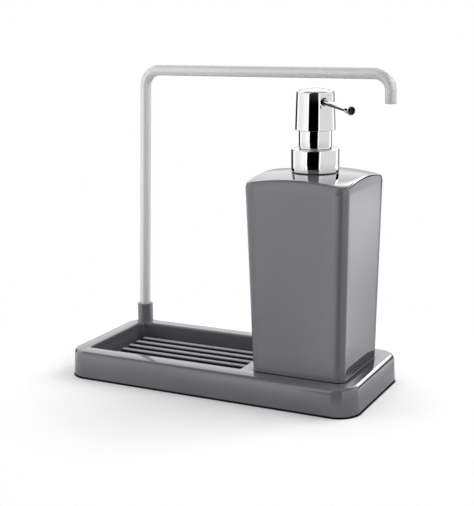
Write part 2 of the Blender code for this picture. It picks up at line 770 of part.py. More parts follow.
def bottle_shell():
    neck_top = NECK_TOP - BOTTLE_FOOT
    rim = BOTTLE_FOOT_RIM
    outer = [foot_ring(rim + BOTTLE_FOOT_DISH, BOTTLE_FOOT_DISH), foot_ring(rim, 0)]
    outer.append(side_ring(0, BOTTLE_FOOT_ROUND))
    for inset, rise in quarter_round(BOTTLE_FOOT_ROUND, ROUND_STEPS)[1:]:
        outer.append(side_ring(inset, BOTTLE_FOOT_ROUND - rise))
    outer += top_edge_rings(0, BEVEL_STEPS, BOTTLE_TOP_ROUND, ROUND_STEPS)
    count = len(outer[0])
    outer += crown_to_circle(outer[-1], NECK_RADIUS, 0)
    outer.append(circle_ring(NECK_RADIUS, neck_top - NECK_LIP_ROUND, count))
    outer.append(circle_ring(NECK_RADIUS - NECK_LIP_ROUND, neck_top, count))
    inner = [side_ring(BOTTLE_FLOOR, BOTTLE_WALL)]
    inner += top_edge_rings(BOTTLE_WALL, 1, BOTTLE_INNER_ROUND, ROUND_STEPS)
    inner += crown_to_circle(inner[-1], NECK_BORE, BOTTLE_WALL)
    inner.append(circle_ring(NECK_BORE, neck_top, count))
    return loft(outer + inner[::-1])


def thread_ridge(root_radius, crest_radius, start_height):
    """One helical ridge with sloping flanks. Its root reaches into the wall that carries it."""
    rings = []
    steps = THREAD_TURNS * THREAD_STEPS
    flank = THREAD_ROOT_WIDTH / 2
    crest = THREAD_CREST_WIDTH / 2
    for step in range(steps + 1):
        angle = 2 * math.pi * step / THREAD_STEPS
        height = start_height + THREAD_PITCH * step / THREAD_STEPS
        corners = (
            (root_radius, height - flank),
            (crest_radius, height - crest),
            (crest_radius, height + crest),
            (root_radius, height + flank),
        )
        ring = []
        for radius, z in corners:
            ring.append((radius * math.cos(angle), radius * math.sin(angle), z))
        rings.append(ring)
    return loft(rings)


def make_bottle():
    axis = make_axis("bottle_axis", (BOTTLE_X, BOTTLE_Y, BOTTLE_FOOT))
    bottle = make_object("bottle", bottle_shell(), GREY_GLOSS, axis)
    start = BOTTLE_HEIGHT + THREAD_START
    ridge_bm = thread_ridge(NECK_RADIUS - WELD_OVERLAP, NECK_RADIUS + THREAD_DEPTH, start)
    ridge = make_object("join_neck_thread", ridge_bm, parent=axis)
    apply_boolean(bottle, ridge, "UNION")


# Closure, collar and gasket
def make_closure(axis):
    ceiling = CLOSURE_CEILING
    top = ceiling + CLOSURE_TOP
    bottom = COLLAR_BOTTOM + CLOSURE_RAISE
    hole = GUIDE_RADIUS + FIT_GAP
    profile = [
        (CLOSURE_BORE, bottom),
        (CLOSURE_RADIUS, bottom),
        (CLOSURE_RADIUS, top),
        (hole, top),
        (hole, ceiling),
        (CLOSURE_BORE, ceiling),
    ]
    closure = make_object("threaded_closure", turned(profile, FINE_STEPS), WHITE_PLASTIC, axis)
    start = BOTTLE_APEX + THREAD_START - THREAD_PITCH / 2
    ridge_bm = thread_ridge(CLOSURE_BORE + WELD_OVERLAP, CLOSURE_BORE - THREAD_DEPTH, start)
    ridge = make_object("join_closure_thread", ridge_bm, parent=axis)
    apply_boolean(closure, ridge, "UNION")


def make_collar(axis):
    top = COLLAR_SHOULDER
    inner = COLLAR_RADIUS - COLLAR_WALL
    hole = GUIDE_RADIUS + FIT_GAP
    profile = [(inner, COLLAR_BOTTOM), (COLLAR_RADIUS, COLLAR_BOTTOM)]
    for inset, rise in quarter_round(COLLAR_EDGE_ROUND, ROUND_STEPS):
        profile.append((COLLAR_RADIUS - inset, top - COLLAR_EDGE_ROUND + rise))
    profile += [(hole, top), (hole, top - COLLAR_TOP), (inner, top - COLLAR_TOP)]
    make_object("collar_sleeve", turned(profile, FINE_STEPS), BRIGHT_CHROME, axis)


def make_gasket(axis):
    top = GASKET_BOTTOM + GASKET_THICKNESS
    inner = FLANGE_RADIUS - GASKET_WIDTH
    profile = [(inner, GASKET_BOTTOM), (FLANGE_RADIUS, GASKET_BOTTOM), (FLANGE_RADIUS, top), (inner, top)]
    make_object("gasket", turned(profile, PLAIN_STEPS), DARK_RUBBER, axis)


# Pump cylinder, guide, chimney, dip tube and ball
def make_cylinder(axis):
    tube_bore = TUBE_RADIUS + FIT_GAP
    outer_floor = CYLINDER_FLOOR - CYLINDER_WALL
    profile = [
        (tube_bore, TAIL_BOTTOM),
        (TAIL_RADIUS, TAIL_BOTTOM),
        (TAIL_RADIUS, outer_floor - TAIL_TAPER),
        (CYLINDER_RADIUS, outer_floor),
        (CYLINDER_RADIUS, FLANGE_BOTTOM),
        (FLANGE_RADIUS, FLANGE_BOTTOM),
        (FLANGE_RADIUS, FLANGE_TOP),
        (CYLINDER_BORE, FLANGE_TOP),
        (CYLINDER_BORE, CYLINDER_FLOOR),
        (CAGE_LIP_RADIUS, CYLINDER_FLOOR),
        (CAGE_LIP_RADIUS, CAGE_TOP),
        (CAGE_RADIUS, CAGE_TOP - (CAGE_RADIUS - CAGE_LIP_RADIUS)),
        (CAGE_RADIUS, CAGE_FLOOR),
        (SEAT_HOLE_RADIUS, SEAT_CONE_BOTTOM),
        (SEAT_HOLE_RADIUS, TUBE_STOP),
        (tube_bore, TUBE_STOP),
    ]
    make_object("pump_cylinder", turned(profile, PLAIN_STEPS), CLEAR_PLASTIC, axis)


def make_guide(axis):
    sleeve_radius = STEM_HOLE + GUIDE_SLEEVE_WALL
    inner = GUIDE_RADIUS - GUIDE_WALL
    profile = [
        (inner, FLANGE_TOP + SEAT_GAP),
        (GUIDE_RADIUS, FLANGE_TOP + SEAT_GAP),
        (GUIDE_RADIUS, GUIDE_TOP_HEIGHT),
        (STEM_HOLE, GUIDE_TOP_HEIGHT),
        (STEM_HOLE, GUIDE_SLEEVE_BOTTOM),
        (sleeve_radius, GUIDE_SLEEVE_BOTTOM),
        (sleeve_radius, GUIDE_CEILING),
        (inner, GUIDE_CEILING),
    ]
    make_object("stem_guide", turned(profile, PLAIN_STEPS), WHITE_PLASTIC, axis)


def make_chimney(axis):
    inner = CHIMNEY_RADIUS - CHIMNEY_WALL
    lip = CHIMNEY_RADIUS - CHIMNEY_LIP
    edge = CHIMNEY_EDGE_ROUND
    profile = [
        (inner, CHIMNEY_BOTTOM),
        (CHIMNEY_RADIUS, CHIMNEY_BOTTOM),
        (CHIMNEY_RADIUS, CHIMNEY_TOP - edge),
        (CHIMNEY_RADIUS - edge, CHIMNEY_TOP),
        (lip, CHIMNEY_TOP),
        (lip, CHIMNEY_TOP - CHIMNEY_WALL),
        (inner, CHIMNEY_TOP - CHIMNEY_WALL),
    ]
    make_object("chimney_sleeve", turned(profile, FINE_STEPS), BRIGHT_CHROME, axis)


def make_dip_tube(axis):
    top = TUBE_STOP - SEAT_GAP
    bottom = BOTTLE_FOOT + BOTTLE_FLOOR + TUBE_FLOOR_GAP
    inner = TUBE_RADIUS - TUBE_WALL
    profile = [(inner, bottom), (TUBE_RADIUS, bottom), (TUBE_RADIUS, top), (inner, top)]
    make_object("dip_tube", turned(profile, SMALL_STEPS), CLEAR_PLASTIC, axis)


def make_ball(axis):
    bm = bmesh.new()
    bmesh.ops.create_uvsphere(bm, u_segments=SMALL_STEPS, v_segments=SMALL_STEPS // 2, radius=BALL_RADIUS)
    make_object("check_ball", bm, STEEL, axis, (0, 0, BALL_CENTRE))


# Piston, plug, spring and stem
def make_piston(axis):
    outer = CYLINDER_BORE - FIT_GAP
    waist = outer - PISTON_WAIST
    lip = PISTON_LIP_HEIGHT
    profile = [
        (STEM_HOLE, PISTON_BOTTOM),
        (outer, PISTON_BOTTOM),
        (outer, PISTON_BOTTOM + lip),
        (waist, PISTON_BOTTOM + lip + PISTON_WAIST),
        (waist, PISTON_TOP - lip - PISTON_WAIST),
        (outer, PISTON_TOP - lip),
        (outer, PISTON_TOP),
        (STEM_HOLE, PISTON_TOP),
    ]
    make_object("piston", turned(profile, PLAIN_STEPS), WHITE_PLASTIC, axis)


def make_piston_plug(axis):
    shank = STEM_BORE - FIT_GAP
    profile = [
        (0, PLUG_FLANGE_BOTTOM - PLUG_PILOT_LENGTH),
        (PLUG_PILOT_RADIUS, PLUG_FLANGE_BOTTOM - PLUG_PILOT_LENGTH),
        (PLUG_PILOT_RADIUS, PLUG_FLANGE_BOTTOM),
        (PLUG_FLANGE_RADIUS, PLUG_FLANGE_BOTTOM),
        (PLUG_FLANGE_RADIUS, PLUG_FLANGE_TOP),
        (shank, PLUG_FLANGE_TOP),
        (shank, PLUG_FLANGE_TOP + PLUG_SHANK_LENGTH),
        (0, PLUG_FLANGE_TOP + PLUG_SHANK_LENGTH),
    ]
    make_object("piston_plug", turned(profile, SMALL_STEPS), WHITE_PLASTIC, axis)


def make_spring(axis):
    """Helical return spring, one unbroken wire from the cylinder's floor to the plug's flange."""
    wire = SPRING_WIRE_RADIUS
    low = SPRING_BOTTOM + wire
    high = SPRING_TOP - wire
    total = SPRING_TURNS * SPRING_STEPS
    points = []
    for step in range(total + 1):
        angle = 2 * math.pi * step / SPRING_STEPS
        height = low + (high - low) * step / total
        points.append(Vector((SPRING_RADIUS * math.cos(angle), SPRING_RADIUS * math.sin(angle), height)))
    rings = []
    for index, centre in enumerate(points):
        outward = Vector((centre.x, centre.y, 0)).normalized()
        forward = Vector((0, 0, 1)).cross(outward)
        rings.append(swept_ring(centre, forward, outward, wire, SPRING_SIDES))
    make_object("return_spring", loft(rings), STEEL, axis)


def make_stem(axis):
    profile = [
        (STEM_BORE, PISTON_BOTTOM),
        (STEM_RADIUS, PISTON_BOTTOM),
        (STEM_RADIUS, STEM_SHOULDER_BOTTOM),
        (STEM_SHOULDER_RADIUS, STEM_SHOULDER_BOTTOM),
        (STEM_SHOULDER_RADIUS, STEM_SHOULDER_TOP),
        (STEM_RADIUS, STEM_SHOULDER_TOP),
        (STEM_RADIUS, STEM_TOP),
        (STEM_BORE, STEM_TOP),
    ]
    make_object("stem", turned(profile, PLAIN_STEPS), WHITE_PLASTIC, axis)


# Pump head and spout
def spout_frame():
    """Rotation whose local Z runs down the spout, and a function from reach to a point on its axis."""
    out = Vector((math.sin(SPOUT_DIRECTION), -math.cos(SPOUT_DIRECTION), 0))
    along = (out * math.cos(SPOUT_FALL) - Vector((0, 0, math.sin(SPOUT_FALL)))).normalized()
    rotation = along.to_track_quat("Z", "Y")

    def point_at(reach):
        rise = (SPOUT_REACH - reach) * math.tan(SPOUT_FALL)
        return out * reach + Vector((0, 0, SPOUT_END_HEIGHT + rise))

    return rotation, point_at


def place_along_spout(obj, reach):
    rotation, point_at = spout_frame()
    obj.rotation_mode = "QUATERNION"
    obj.rotation_quaternion = rotation
    obj.location = point_at(reach)


def along_spout(reach_from, reach_to):
    return (reach_to - reach_from) / math.cos(SPOUT_FALL)


def make_head_insert(axis):
    shell_inner = HEAD_TOP_RADIUS - HEAD_WALL
    web_radius = shell_inner - WEB_CLEARANCE
    bore = STEM_HOLE
    stop = STEM_TOP + SEAT_GAP
    chamber_top = stop + HUB_CHAMBER_HEIGHT
    profile = [
        (0, chamber_top),
        (HUB_CHAMBER_RADIUS, chamber_top),
        (HUB_CHAMBER_RADIUS, stop),
        (bore, stop),
        (bore, HUB_BOTTOM),
        (HUB_RADIUS, HUB_BOTTOM),
        (HUB_RADIUS, WEB_BOTTOM),
        (web_radius, WEB_BOTTOM),
        (web_radius, WEB_BOTTOM + WEB_THICKNESS),
        (0, WEB_BOTTOM + WEB_THICKNESS),
    ]
    insert = make_object("head_insert", turned(profile, PLAIN_STEPS), WHITE_PLASTIC, axis)
    depth = along_spout(SPOUT_INNER_REACH - SEAT_GAP, HUB_RADIUS) + CUT_OVERRUN
    pocket_radius = SPOUT_ROOT_RADIUS + FIT_GAP
    pocket_bm = cylinder_mesh(pocket_radius, 0, depth, PLAIN_STEPS)
    pocket = make_object("cut_spout_pocket", pocket_bm, parent=axis)
    place_along_spout(pocket, SPOUT_INNER_REACH - SEAT_GAP)
    port_length = along_spout(HUB_CHAMBER_RADIUS, SPOUT_INNER_REACH) + 2 * CUT_OVERRUN
    port_bm = cylinder_mesh(SPOUT_PORT_RADIUS, 0, port_length, SMALL_STEPS)
    port = make_object("cut_spout_port", port_bm, parent=axis)
    place_along_spout(port, HUB_CHAMBER_RADIUS - CUT_OVERRUN)
    apply_boolean(insert, pocket, "DIFFERENCE")
    apply_boolean(insert, port, "DIFFERENCE")


def head_profile(wall):
    """Outer or inner side of the head's sleeve, from its bottom edge to the axis."""
    bottom = HEAD_BOTTOM_RADIUS - wall
    top = HEAD_TOP_RADIUS - wall
    edge = HEAD_EDGE_ROUND - wall
    shoulder = HEAD_SHOULDER - wall
    points = [(bottom, HEAD_BOTTOM)]
    for inset, rise in quarter_round(edge, ROUND_STEPS):
        points.append((top - inset, shoulder - edge + rise))
    flat = top - edge
    for step in range(1, DOME_STEPS + 1):
        radius = flat * (1 - step / DOME_STEPS)
        rise = HEAD_DOME * (1 - (radius / flat) ** 2)
        points.append((radius, shoulder + rise))
    return points


def make_head_sleeve(axis):
    profile = head_profile(0)[::-1] + head_profile(HEAD_WALL)
    sleeve = make_object("head_sleeve", turned(profile, FINE_STEPS), BRIGHT_CHROME, axis)
    length = along_spout(HUB_RADIUS, HEAD_BOTTOM_RADIUS) + 2 * CUT_OVERRUN
    radius = SPOUT_ROOT_RADIUS + SPOUT_HOLE_GAP
    hole = make_object("cut_spout_hole", cylinder_mesh(radius, 0, length, PLAIN_STEPS), parent=axis)
    place_along_spout(hole, HUB_RADIUS)
    apply_boolean(sleeve, hole, "DIFFERENCE")


def make_spout(axis):
    tip_start = SPOUT_REACH - TIP_LENGTH
    tube_end = tip_start + TIP_SOCKET_DEPTH
    length = along_spout(SPOUT_INNER_REACH, tube_end)
    profile = [
        (SPOUT_BORE, 0),
        (SPOUT_ROOT_RADIUS, 0),
        (SPOUT_END_RADIUS, length),
        (SPOUT_BORE, length),
    ]
    spout = make_object("spout_tube", turned(profile, PLAIN_STEPS), BRIGHT_CHROME, axis)
    place_along_spout(spout, SPOUT_INNER_REACH)
    socket = SPOUT_END_RADIUS + FIT_GAP
    tip_length = along_spout(tip_start, SPOUT_REACH)
    stop = along_spout(tip_start, tube_end) + SEAT_GAP
    tip_profile = [
        (socket + TIP_SOCKET_FLARE, 0),
        (TIP_BACK_RADIUS, 0),
        (TIP_MOUTH_RADIUS, tip_length),
        (TIP_MOUTH_BORE, tip_length),
        (SPOUT_BORE, tip_length - TIP_CUP_DEPTH),
        (SPOUT_BORE, stop),
        (socket, stop),
    ]
    tip = make_object("spout_tip", turned(tip_profile, PLAIN_STEPS), BRIGHT_CHROME, axis)
    place_along_spout(tip, tip_start)


def make_pump():
    axis = make_axis("pump_axis", (BOTTLE_X, BOTTLE_Y, 0))
    make_closure(axis)
    make_collar(axis)
    make_gasket(axis)
    make_cylinder(axis)
    make_guide(axis)
    make_chimney(axis)
    make_dip_tube(axis)
    make_ball(axis)
    make_piston(axis)
    make_piston_plug(axis)
    make_spring(axis)
    make_stem(axis)
    make_head_insert(axis)
    make_head_sleeve(axis)
    make_spout(axis)


def main():
    clear_scene()
    make_tray()
    make_feet()
    make_rail()
    make_bottle()
    make_pump()


main()
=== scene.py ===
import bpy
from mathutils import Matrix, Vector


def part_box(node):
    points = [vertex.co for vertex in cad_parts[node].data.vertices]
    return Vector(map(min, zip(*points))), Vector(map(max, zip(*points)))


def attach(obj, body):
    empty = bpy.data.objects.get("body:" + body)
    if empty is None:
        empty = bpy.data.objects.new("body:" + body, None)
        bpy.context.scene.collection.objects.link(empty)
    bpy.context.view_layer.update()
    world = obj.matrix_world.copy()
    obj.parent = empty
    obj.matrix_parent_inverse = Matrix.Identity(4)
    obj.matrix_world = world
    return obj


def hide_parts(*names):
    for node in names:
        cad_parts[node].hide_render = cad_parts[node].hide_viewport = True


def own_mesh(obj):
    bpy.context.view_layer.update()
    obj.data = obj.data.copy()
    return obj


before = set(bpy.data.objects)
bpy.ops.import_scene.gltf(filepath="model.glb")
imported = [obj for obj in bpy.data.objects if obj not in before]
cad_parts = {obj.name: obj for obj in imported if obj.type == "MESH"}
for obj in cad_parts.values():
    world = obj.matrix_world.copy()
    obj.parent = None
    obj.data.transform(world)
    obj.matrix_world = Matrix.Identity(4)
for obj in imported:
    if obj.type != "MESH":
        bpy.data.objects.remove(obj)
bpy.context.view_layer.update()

import math

import bmesh
import bpy
from mathutils import Matrix, Vector

MM = 0.001
SMOOTH_ANGLE = math.radians(28)
MERGE_DISTANCE = 1e-6

# Places shared by the pieces, in metres
PUMP_X, PUMP_Y = 0.0654, -0.0039
RAIL_X, RAIL_Y = -0.0970, 0.0420

# Tray
TRAY_LENGTH, TRAY_DEPTH = 0.2187, 0.0979
TRAY_BOTTOM, TRAY_TOP = 0.0005, 0.0195
TRAY_CORNER, TRAY_DRAFT = 0.0151, 0.0006
TRAY_TOP_ROUND, TRAY_FOOT_ROUND = 0.0030, 0.0015
TRAY_WALL, CELL_RIB, CELL_SIZE, CELL_CORNER_KEEP = 0.0024, 0.0018, 0.0185, 0.0180
DISH_LEFT, DISH_RIGHT = -0.09775, 0.02365
DISH_FRONT, DISH_BACK = -0.03585, 0.03705
DISH_FLOOR, DISH_CORNER, DISH_FRONT_CORNER, DISH_DRAFT = 0.0050, 0.0065, 0.0014, 0.0010
DISH_FLOOR_ROUND, DISH_EDGE_ROUND = 0.0012, 0.0008
RIB_COUNT, RIB_PITCH, RIB_WIDTH, RIB_HEIGHT = 7, 0.0101, 0.0044, 0.0045
RIB_ROUND, RIB_END_GAP = 0.0014, 0.0046
SEAT_HALF, SEAT_CORNER, SEAT_DEPTH = 0.03325, 0.0054, 0.0008
SOCKET_RADIUS, SOCKET_BORE, SOCKET_TOP, RAIL_SEAT_GAP = 0.0059, 0.0043, 0.0340, 0.0003
FOOT_INSET, FOOT_POCKET_RADIUS, FOOT_POCKET_TOP = 0.0110, 0.0043, 0.0018

# Bottle
BOTTLE_FOOT, BOTTLE_APEX = 0.0190, 0.1527
FOOT_HALF, SHOULDER_HALF, SHOULDER_Z = 0.03285, 0.03615, 0.1430
BOTTLE_CORNER, BOTTLE_CROWN, CORNER_DROP = 0.0050, 0.0016, 0.0024
BEVEL_INSET, TOP_ROUND, BOTTLE_WALL = 0.0005, 0.0016, 0.0020
FOOT_DISH_INSET, FOOT_DISH_DEPTH, FOOT_RIM_INSET, FOOT_ROUND_INSET = 0.0066, 0.0006, 0.0060, 0.0011
NECK_RADIUS, NECK_FOOT, NECK_TOP = 0.0124, 0.1545, 0.1618
THREAD_MIDDLE, THREAD_START, THREAD_PITCH = 0.4 * MM, 0.1564, 4 * MM
THREAD_DEPTH, THREAD_WIDTH = 1.4 * MM, 1.7 * MM

# Spring inside the pump
SPRING_RADIUS, SPRING_WIRE, SPRING_TURNS = 0.0050, 0.0004, 7

# Rail
RAIL_RADIUS, RAIL_WALL, RAIL_FOOT = 0.0040, 0.0010, 0.0053
RAIL_SPAN, RAIL_ARM, RAIL_BEND, RAIL_DROP_END = 0.1990, 0.2153, 0.0120, 0.1948
RAIL_LEAN = math.radians(1.85)

# Spout
SPOUT_DIRECTION, SPOUT_FALL = math.radians(49), math.radians(4.7)
SPOUT_REACH, SPOUT_END_Z, SPOUT_INNER = 0.0494, 0.1965, 0.0049
SPOUT_HOLE, SPOUT_HOLE_START, SPOUT_HOLE_LENGTH = 2.65 * MM, 8 * MM, 8 * MM
TIP_LENGTH_MM, TUBE_IN_TIP_MM = 5, 2.2
BORE_REACH, BORE_LIP = 2.4 * MM, 0.25 * MM


# Small modelling steps
def deselect():
    bpy.ops.object.select_all(action="DESELECT")


def take(piece):
    """Picks this piece alone and makes it the active one."""
    deselect()
    bpy.context.view_layer.objects.active = piece
    piece.select_set(True)


def edit(piece):
    take(piece)
    bpy.ops.object.mode_set(mode="EDIT")
    bpy.ops.mesh.select_mode(type="VERT")
    bpy.ops.mesh.select_all(action="DESELECT")


def leave_edit():
    bpy.ops.object.mode_set(mode="OBJECT")


def name_piece(name):
    piece = bpy.context.object
    piece.name = name
    piece.data.name = name
    return piece


def pick(piece, kind, wanted):
    """Selects in edit mode the faces, edges or verts for which wanted(element) is true."""
    modes = {"faces": "FACE", "edges": "EDGE", "verts": "VERT"}
    bpy.ops.mesh.select_mode(type=modes[kind])
    bpy.ops.mesh.select_all(action="DESELECT")
    mesh = bmesh.from_edit_mesh(piece.data)
    for element in getattr(mesh, kind):
        if wanted(element):
            element.select_set(True)
    mesh.select_flush_mode()
    bmesh.update_edit_mesh(piece.data)


def settle(piece):
    """Places the piece in its own mesh, turns its faces outwards and shades it."""
    take(piece)
    bpy.ops.object.transform_apply(location=True, rotation=True, scale=True)
    bpy.ops.object.mode_set(mode="EDIT")
    bpy.ops.mesh.select_all(action="SELECT")
    bpy.ops.mesh.remove_doubles(threshold=MERGE_DISTANCE)
    bpy.ops.mesh.normals_make_consistent(inside=False)
    bpy.ops.object.mode_set(mode="OBJECT")
    bpy.ops.object.shade_smooth_by_angle(angle=SMOOTH_ANGLE)


def rounded_corner(before, corner, after, radius, steps):
    to_before = (before - corner).normalized()
    to_after = (after - corner).normalized()
    opening = to_before.angle(to_after)
    reach = radius / math.tan(opening / 2)
    centre = corner + (to_before + to_after).normalized() * radius / math.sin(opening / 2)
    start = corner + to_before * reach - centre
    end = corner + to_after * reach - centre
    sweep = start.angle(end)
    points = []
    for step in range(steps + 1):
        share = step / steps
        low = math.sin((1 - share) * sweep) / math.sin(sweep)
        high = math.sin(share * sweep) / math.sin(sweep)
        points.append(centre + start * low + end * high)
    return points


def rounded_profile(points, closed=True, steps=5):
    """Profile of (radius, height, rounding) in millimetres, with each corner rounded, in metres."""
    corners = [Vector((radius, height)) for radius, height, _ in points]
    full = []
    for k, (_, _, rounding) in enumerate(points):
        inside = closed or 0 < k < len(points) - 1
        if rounding and inside:
            after = corners[(k + 1) % len(corners)]
            full += rounded_corner(corners[k - 1], corners[k], after, rounding, steps)
        else:
            full.append(corners[k])
    return [(point.x * MM, point.y * MM) for point in full]


def turned_piece(name, profile, facets=96, closed=True, place=(PUMP_X, PUMP_Y)):
    """Draws a ring at the profile's first point and pulls it along the others, as on a lathe."""
    deselect()
    x, y = place
    radius, height = profile[0]
    bpy.ops.mesh.primitive_circle_add(vertices=facets, radius=radius, location=(x, y, height))
    piece = name_piece(name)
    bpy.ops.object.transform_apply(location=True)
    edit(piece)
    bpy.ops.mesh.select_all(action="SELECT")
    route = profile[1:] + profile[:1] if closed else profile[1:]
    for next_radius, next_height in route:
        rise = next_height - height
        bpy.ops.mesh.extrude_region_move(TRANSFORM_OT_translate={"value": (0, 0, rise)})
        growth = next_radius / radius
        bpy.ops.transform.resize(value=(growth, growth, 1), center_override=(x, y, next_height))
        radius, height = next_radius, next_height
    if not closed:
        bpy.ops.mesh.select_all(action="SELECT")
        bpy.ops.mesh.fill_holes(sides=0)
    leave_edit()
    settle(piece)
    return piece


def cut(piece, cutter):
    modifier = piece.modifiers.new("cut", "BOOLEAN")
    modifier.operation = "DIFFERENCE"
    modifier.solver = "EXACT"
    modifier.object = cutter
    take(piece)
    bpy.ops.object.modifier_apply(modifier=modifier.name)
    bpy.data.objects.remove(cutter)


def give_wall(piece, thickness):
    """Turns a skin into a wall of this thickness, inwards."""
    wall = piece.modifiers.new("wall", "SOLIDIFY")
    wall.thickness = thickness
    wall.offset = -1
    take(piece)
    bpy.ops.object.modifier_apply(modifier=wall.name)


def wind_up(section, steps, rise, turns=1):
    """Winds an upright section round the pump's axis, with this rise at each turn."""
    bpy.context.scene.cursor.location = (PUMP_X, PUMP_Y, 0)
    bpy.ops.object.origin_set(type="ORIGIN_CURSOR")
    winding = section.modifiers.new("winding", "SCREW")
    winding.steps = winding.render_steps = steps
    winding.iterations = turns
    winding.screw_offset = rise
    winding.use_merge_vertices = False
    bpy.ops.object.modifier_apply(modifier=winding.name)
    edit(section)
    bpy.ops.mesh.select_all(action="SELECT")
    bpy.ops.mesh.fill_holes(sides=0)
    leave_edit()
    settle(section)


def block(name, low, high):
    deselect()
    low, high = Vector(low), Vector(high)
    bpy.ops.mesh.primitive_cube_add(size=1, location=(low + high) / 2, scale=high - low)
    bpy.ops.object.transform_apply(location=True, scale=True)
    return name_piece(name)


def is_upright(edge):
    a, b = (v.co for v in edge.verts)
    return abs(a.z - b.z) > abs(a.x - b.x) + abs(a.y - b.y)


def round_uprights(piece, radius, segments):
    pick(piece, "edges", is_upright)
    bpy.ops.mesh.bevel(offset=radius, segments=segments, affect="EDGES")


def faces_down(face):
    return face.normal.z < -0.99


def faces_up(face):
    return face.normal.z > 0.99


# Tray
def slab():
    piece = block(
        "tray_moulding",
        (-TRAY_LENGTH / 2, -TRAY_DEPTH / 2, TRAY_BOTTOM),
        (TRAY_LENGTH / 2, TRAY_DEPTH / 2, TRAY_TOP),
    )
    edit(piece)
    round_uprights(piece, TRAY_CORNER, 14)
    pick(piece, "faces", faces_up)
    narrowed = (1 - 2 * TRAY_DRAFT / TRAY_LENGTH, 1 - 2 * TRAY_DRAFT / TRAY_DEPTH, 1)
    bpy.ops.transform.resize(value=narrowed, center_override=(0, 0, TRAY_TOP))
    pick(piece, "faces", faces_up)
    bpy.ops.mesh.bevel(offset=TRAY_TOP_ROUND, segments=6, affect="EDGES")
    pick(piece, "faces", faces_down)
    bpy.ops.mesh.bevel(offset=TRAY_FOOT_ROUND, segments=3, affect="EDGES")
    leave_edit()
    return piece


def dish_cutter():
    top = TRAY_TOP + 2 * MM
    cutter = block("dish_space", (DISH_LEFT, DISH_FRONT, DISH_FLOOR), (DISH_RIGHT, DISH_BACK, top))
    edit(cutter)
    for side, radius in ((1, DISH_CORNER), (-1, DISH_FRONT_CORNER)):
        pick(cutter, "edges", lambda edge: is_upright(edge) and edge.verts[0].co.y * side > 0)
        bpy.ops.mesh.bevel(offset=radius, segments=10, affect="EDGES")
    pick(cutter, "faces", faces_down)
    length, depth = DISH_RIGHT - DISH_LEFT, DISH_BACK - DISH_FRONT
    narrowed = (1 - 2 * DISH_DRAFT / length, 1 - 2 * DISH_DRAFT / depth, 1)
    middle = ((DISH_LEFT + DISH_RIGHT) / 2, (DISH_FRONT + DISH_BACK) / 2, DISH_FLOOR)
    bpy.ops.transform.resize(value=narrowed, center_override=middle)
    pick(cutter, "faces", faces_down)
    bpy.ops.mesh.bevel(offset=DISH_FLOOR_ROUND, segments=4, affect="EDGES")
    leave_edit()
    return cutter


def on_dish_rim(edge):
    margin = 2 * MM
    for vert in edge.verts:
        inside_x = DISH_LEFT - margin < vert.co.x < DISH_RIGHT + margin
        inside_y = DISH_FRONT - margin < vert.co.y < DISH_BACK + margin
        if abs(vert.co.z - TRAY_TOP) > 0.01 * MM or not (inside_x and inside_y):
            return False
    return any(face.normal.z < 0.9 for face in edge.link_faces)


def cell_spans(low, high):
    count = max(1, round((high - low + CELL_RIB) / (CELL_SIZE + CELL_RIB)))
    size = (high - low - (count - 1) * CELL_RIB) / count
    starts = [low + k * (size + CELL_RIB) for k in range(count)]
    return [(start, start + size) for start in starts]


def cell_boxes():
    """Low and high corners, in plan, of the hollow cells under the deck and rims."""
    wall = TRAY_WALL + TRAY_DRAFT
    left, right = -TRAY_LENGTH / 2 + wall, TRAY_LENGTH / 2 - wall
    front, back = -TRAY_DEPTH / 2 + wall, TRAY_DEPTH / 2 - wall
    deck_left = DISH_RIGHT + TRAY_WALL
    corner_left = -TRAY_LENGTH / 2 + CELL_CORNER_KEEP
    corner_right = TRAY_LENGTH / 2 - CELL_CORNER_KEEP
    corner_front = -TRAY_DEPTH / 2 + CELL_CORNER_KEEP
    corner_back = TRAY_DEPTH / 2 - CELL_CORNER_KEEP
    boxes = []
    for x0, x1 in cell_spans(deck_left, corner_right - CELL_RIB):
        boxes += [(x0, y0, x1, y1) for y0, y1 in cell_spans(front, back)]
    for y0, y1 in cell_spans(corner_front, corner_back):
        boxes.append((corner_right, y0, right, y1))
        boxes.append((left, y0, DISH_LEFT - TRAY_WALL, y1))
    for x0, x1 in cell_spans(corner_left, deck_left - CELL_RIB):
        boxes.append((x0, front, x1, DISH_FRONT - TRAY_WALL))
        boxes.append((x0, DISH_BACK + TRAY_WALL, x1, back))
    return boxes


def underside_cutter():
    bottom = TRAY_BOTTOM - MM
    top = TRAY_TOP - TRAY_WALL - SEAT_DEPTH
    cells = []
    for x0, y0, x1, y1 in cell_boxes():
        cells.append(block("cell", (x0, y0, bottom), (x1, y1, top)))
    deselect()
    for cell in cells:
        cell.select_set(True)
    bpy.context.view_layer.objects.active = cells[0]
    bpy.ops.object.join()
    return cells[0]


def foot_places():
    x, y = TRAY_LENGTH / 2 - FOOT_INSET, TRAY_DEPTH / 2 - FOOT_INSET
    return [(-x, -y), (x, -y), (-x, y), (x, y)]


def round_cutter(radius, low, high, place, facets=48):
    deselect()
    x, y = place
    bpy.ops.mesh.primitive_cylinder_add(
        vertices=facets, radius=radius, depth=high - low, location=(x, y, (low + high) / 2)
    )
    bpy.ops.object.transform_apply(location=True)
    return bpy.context.object


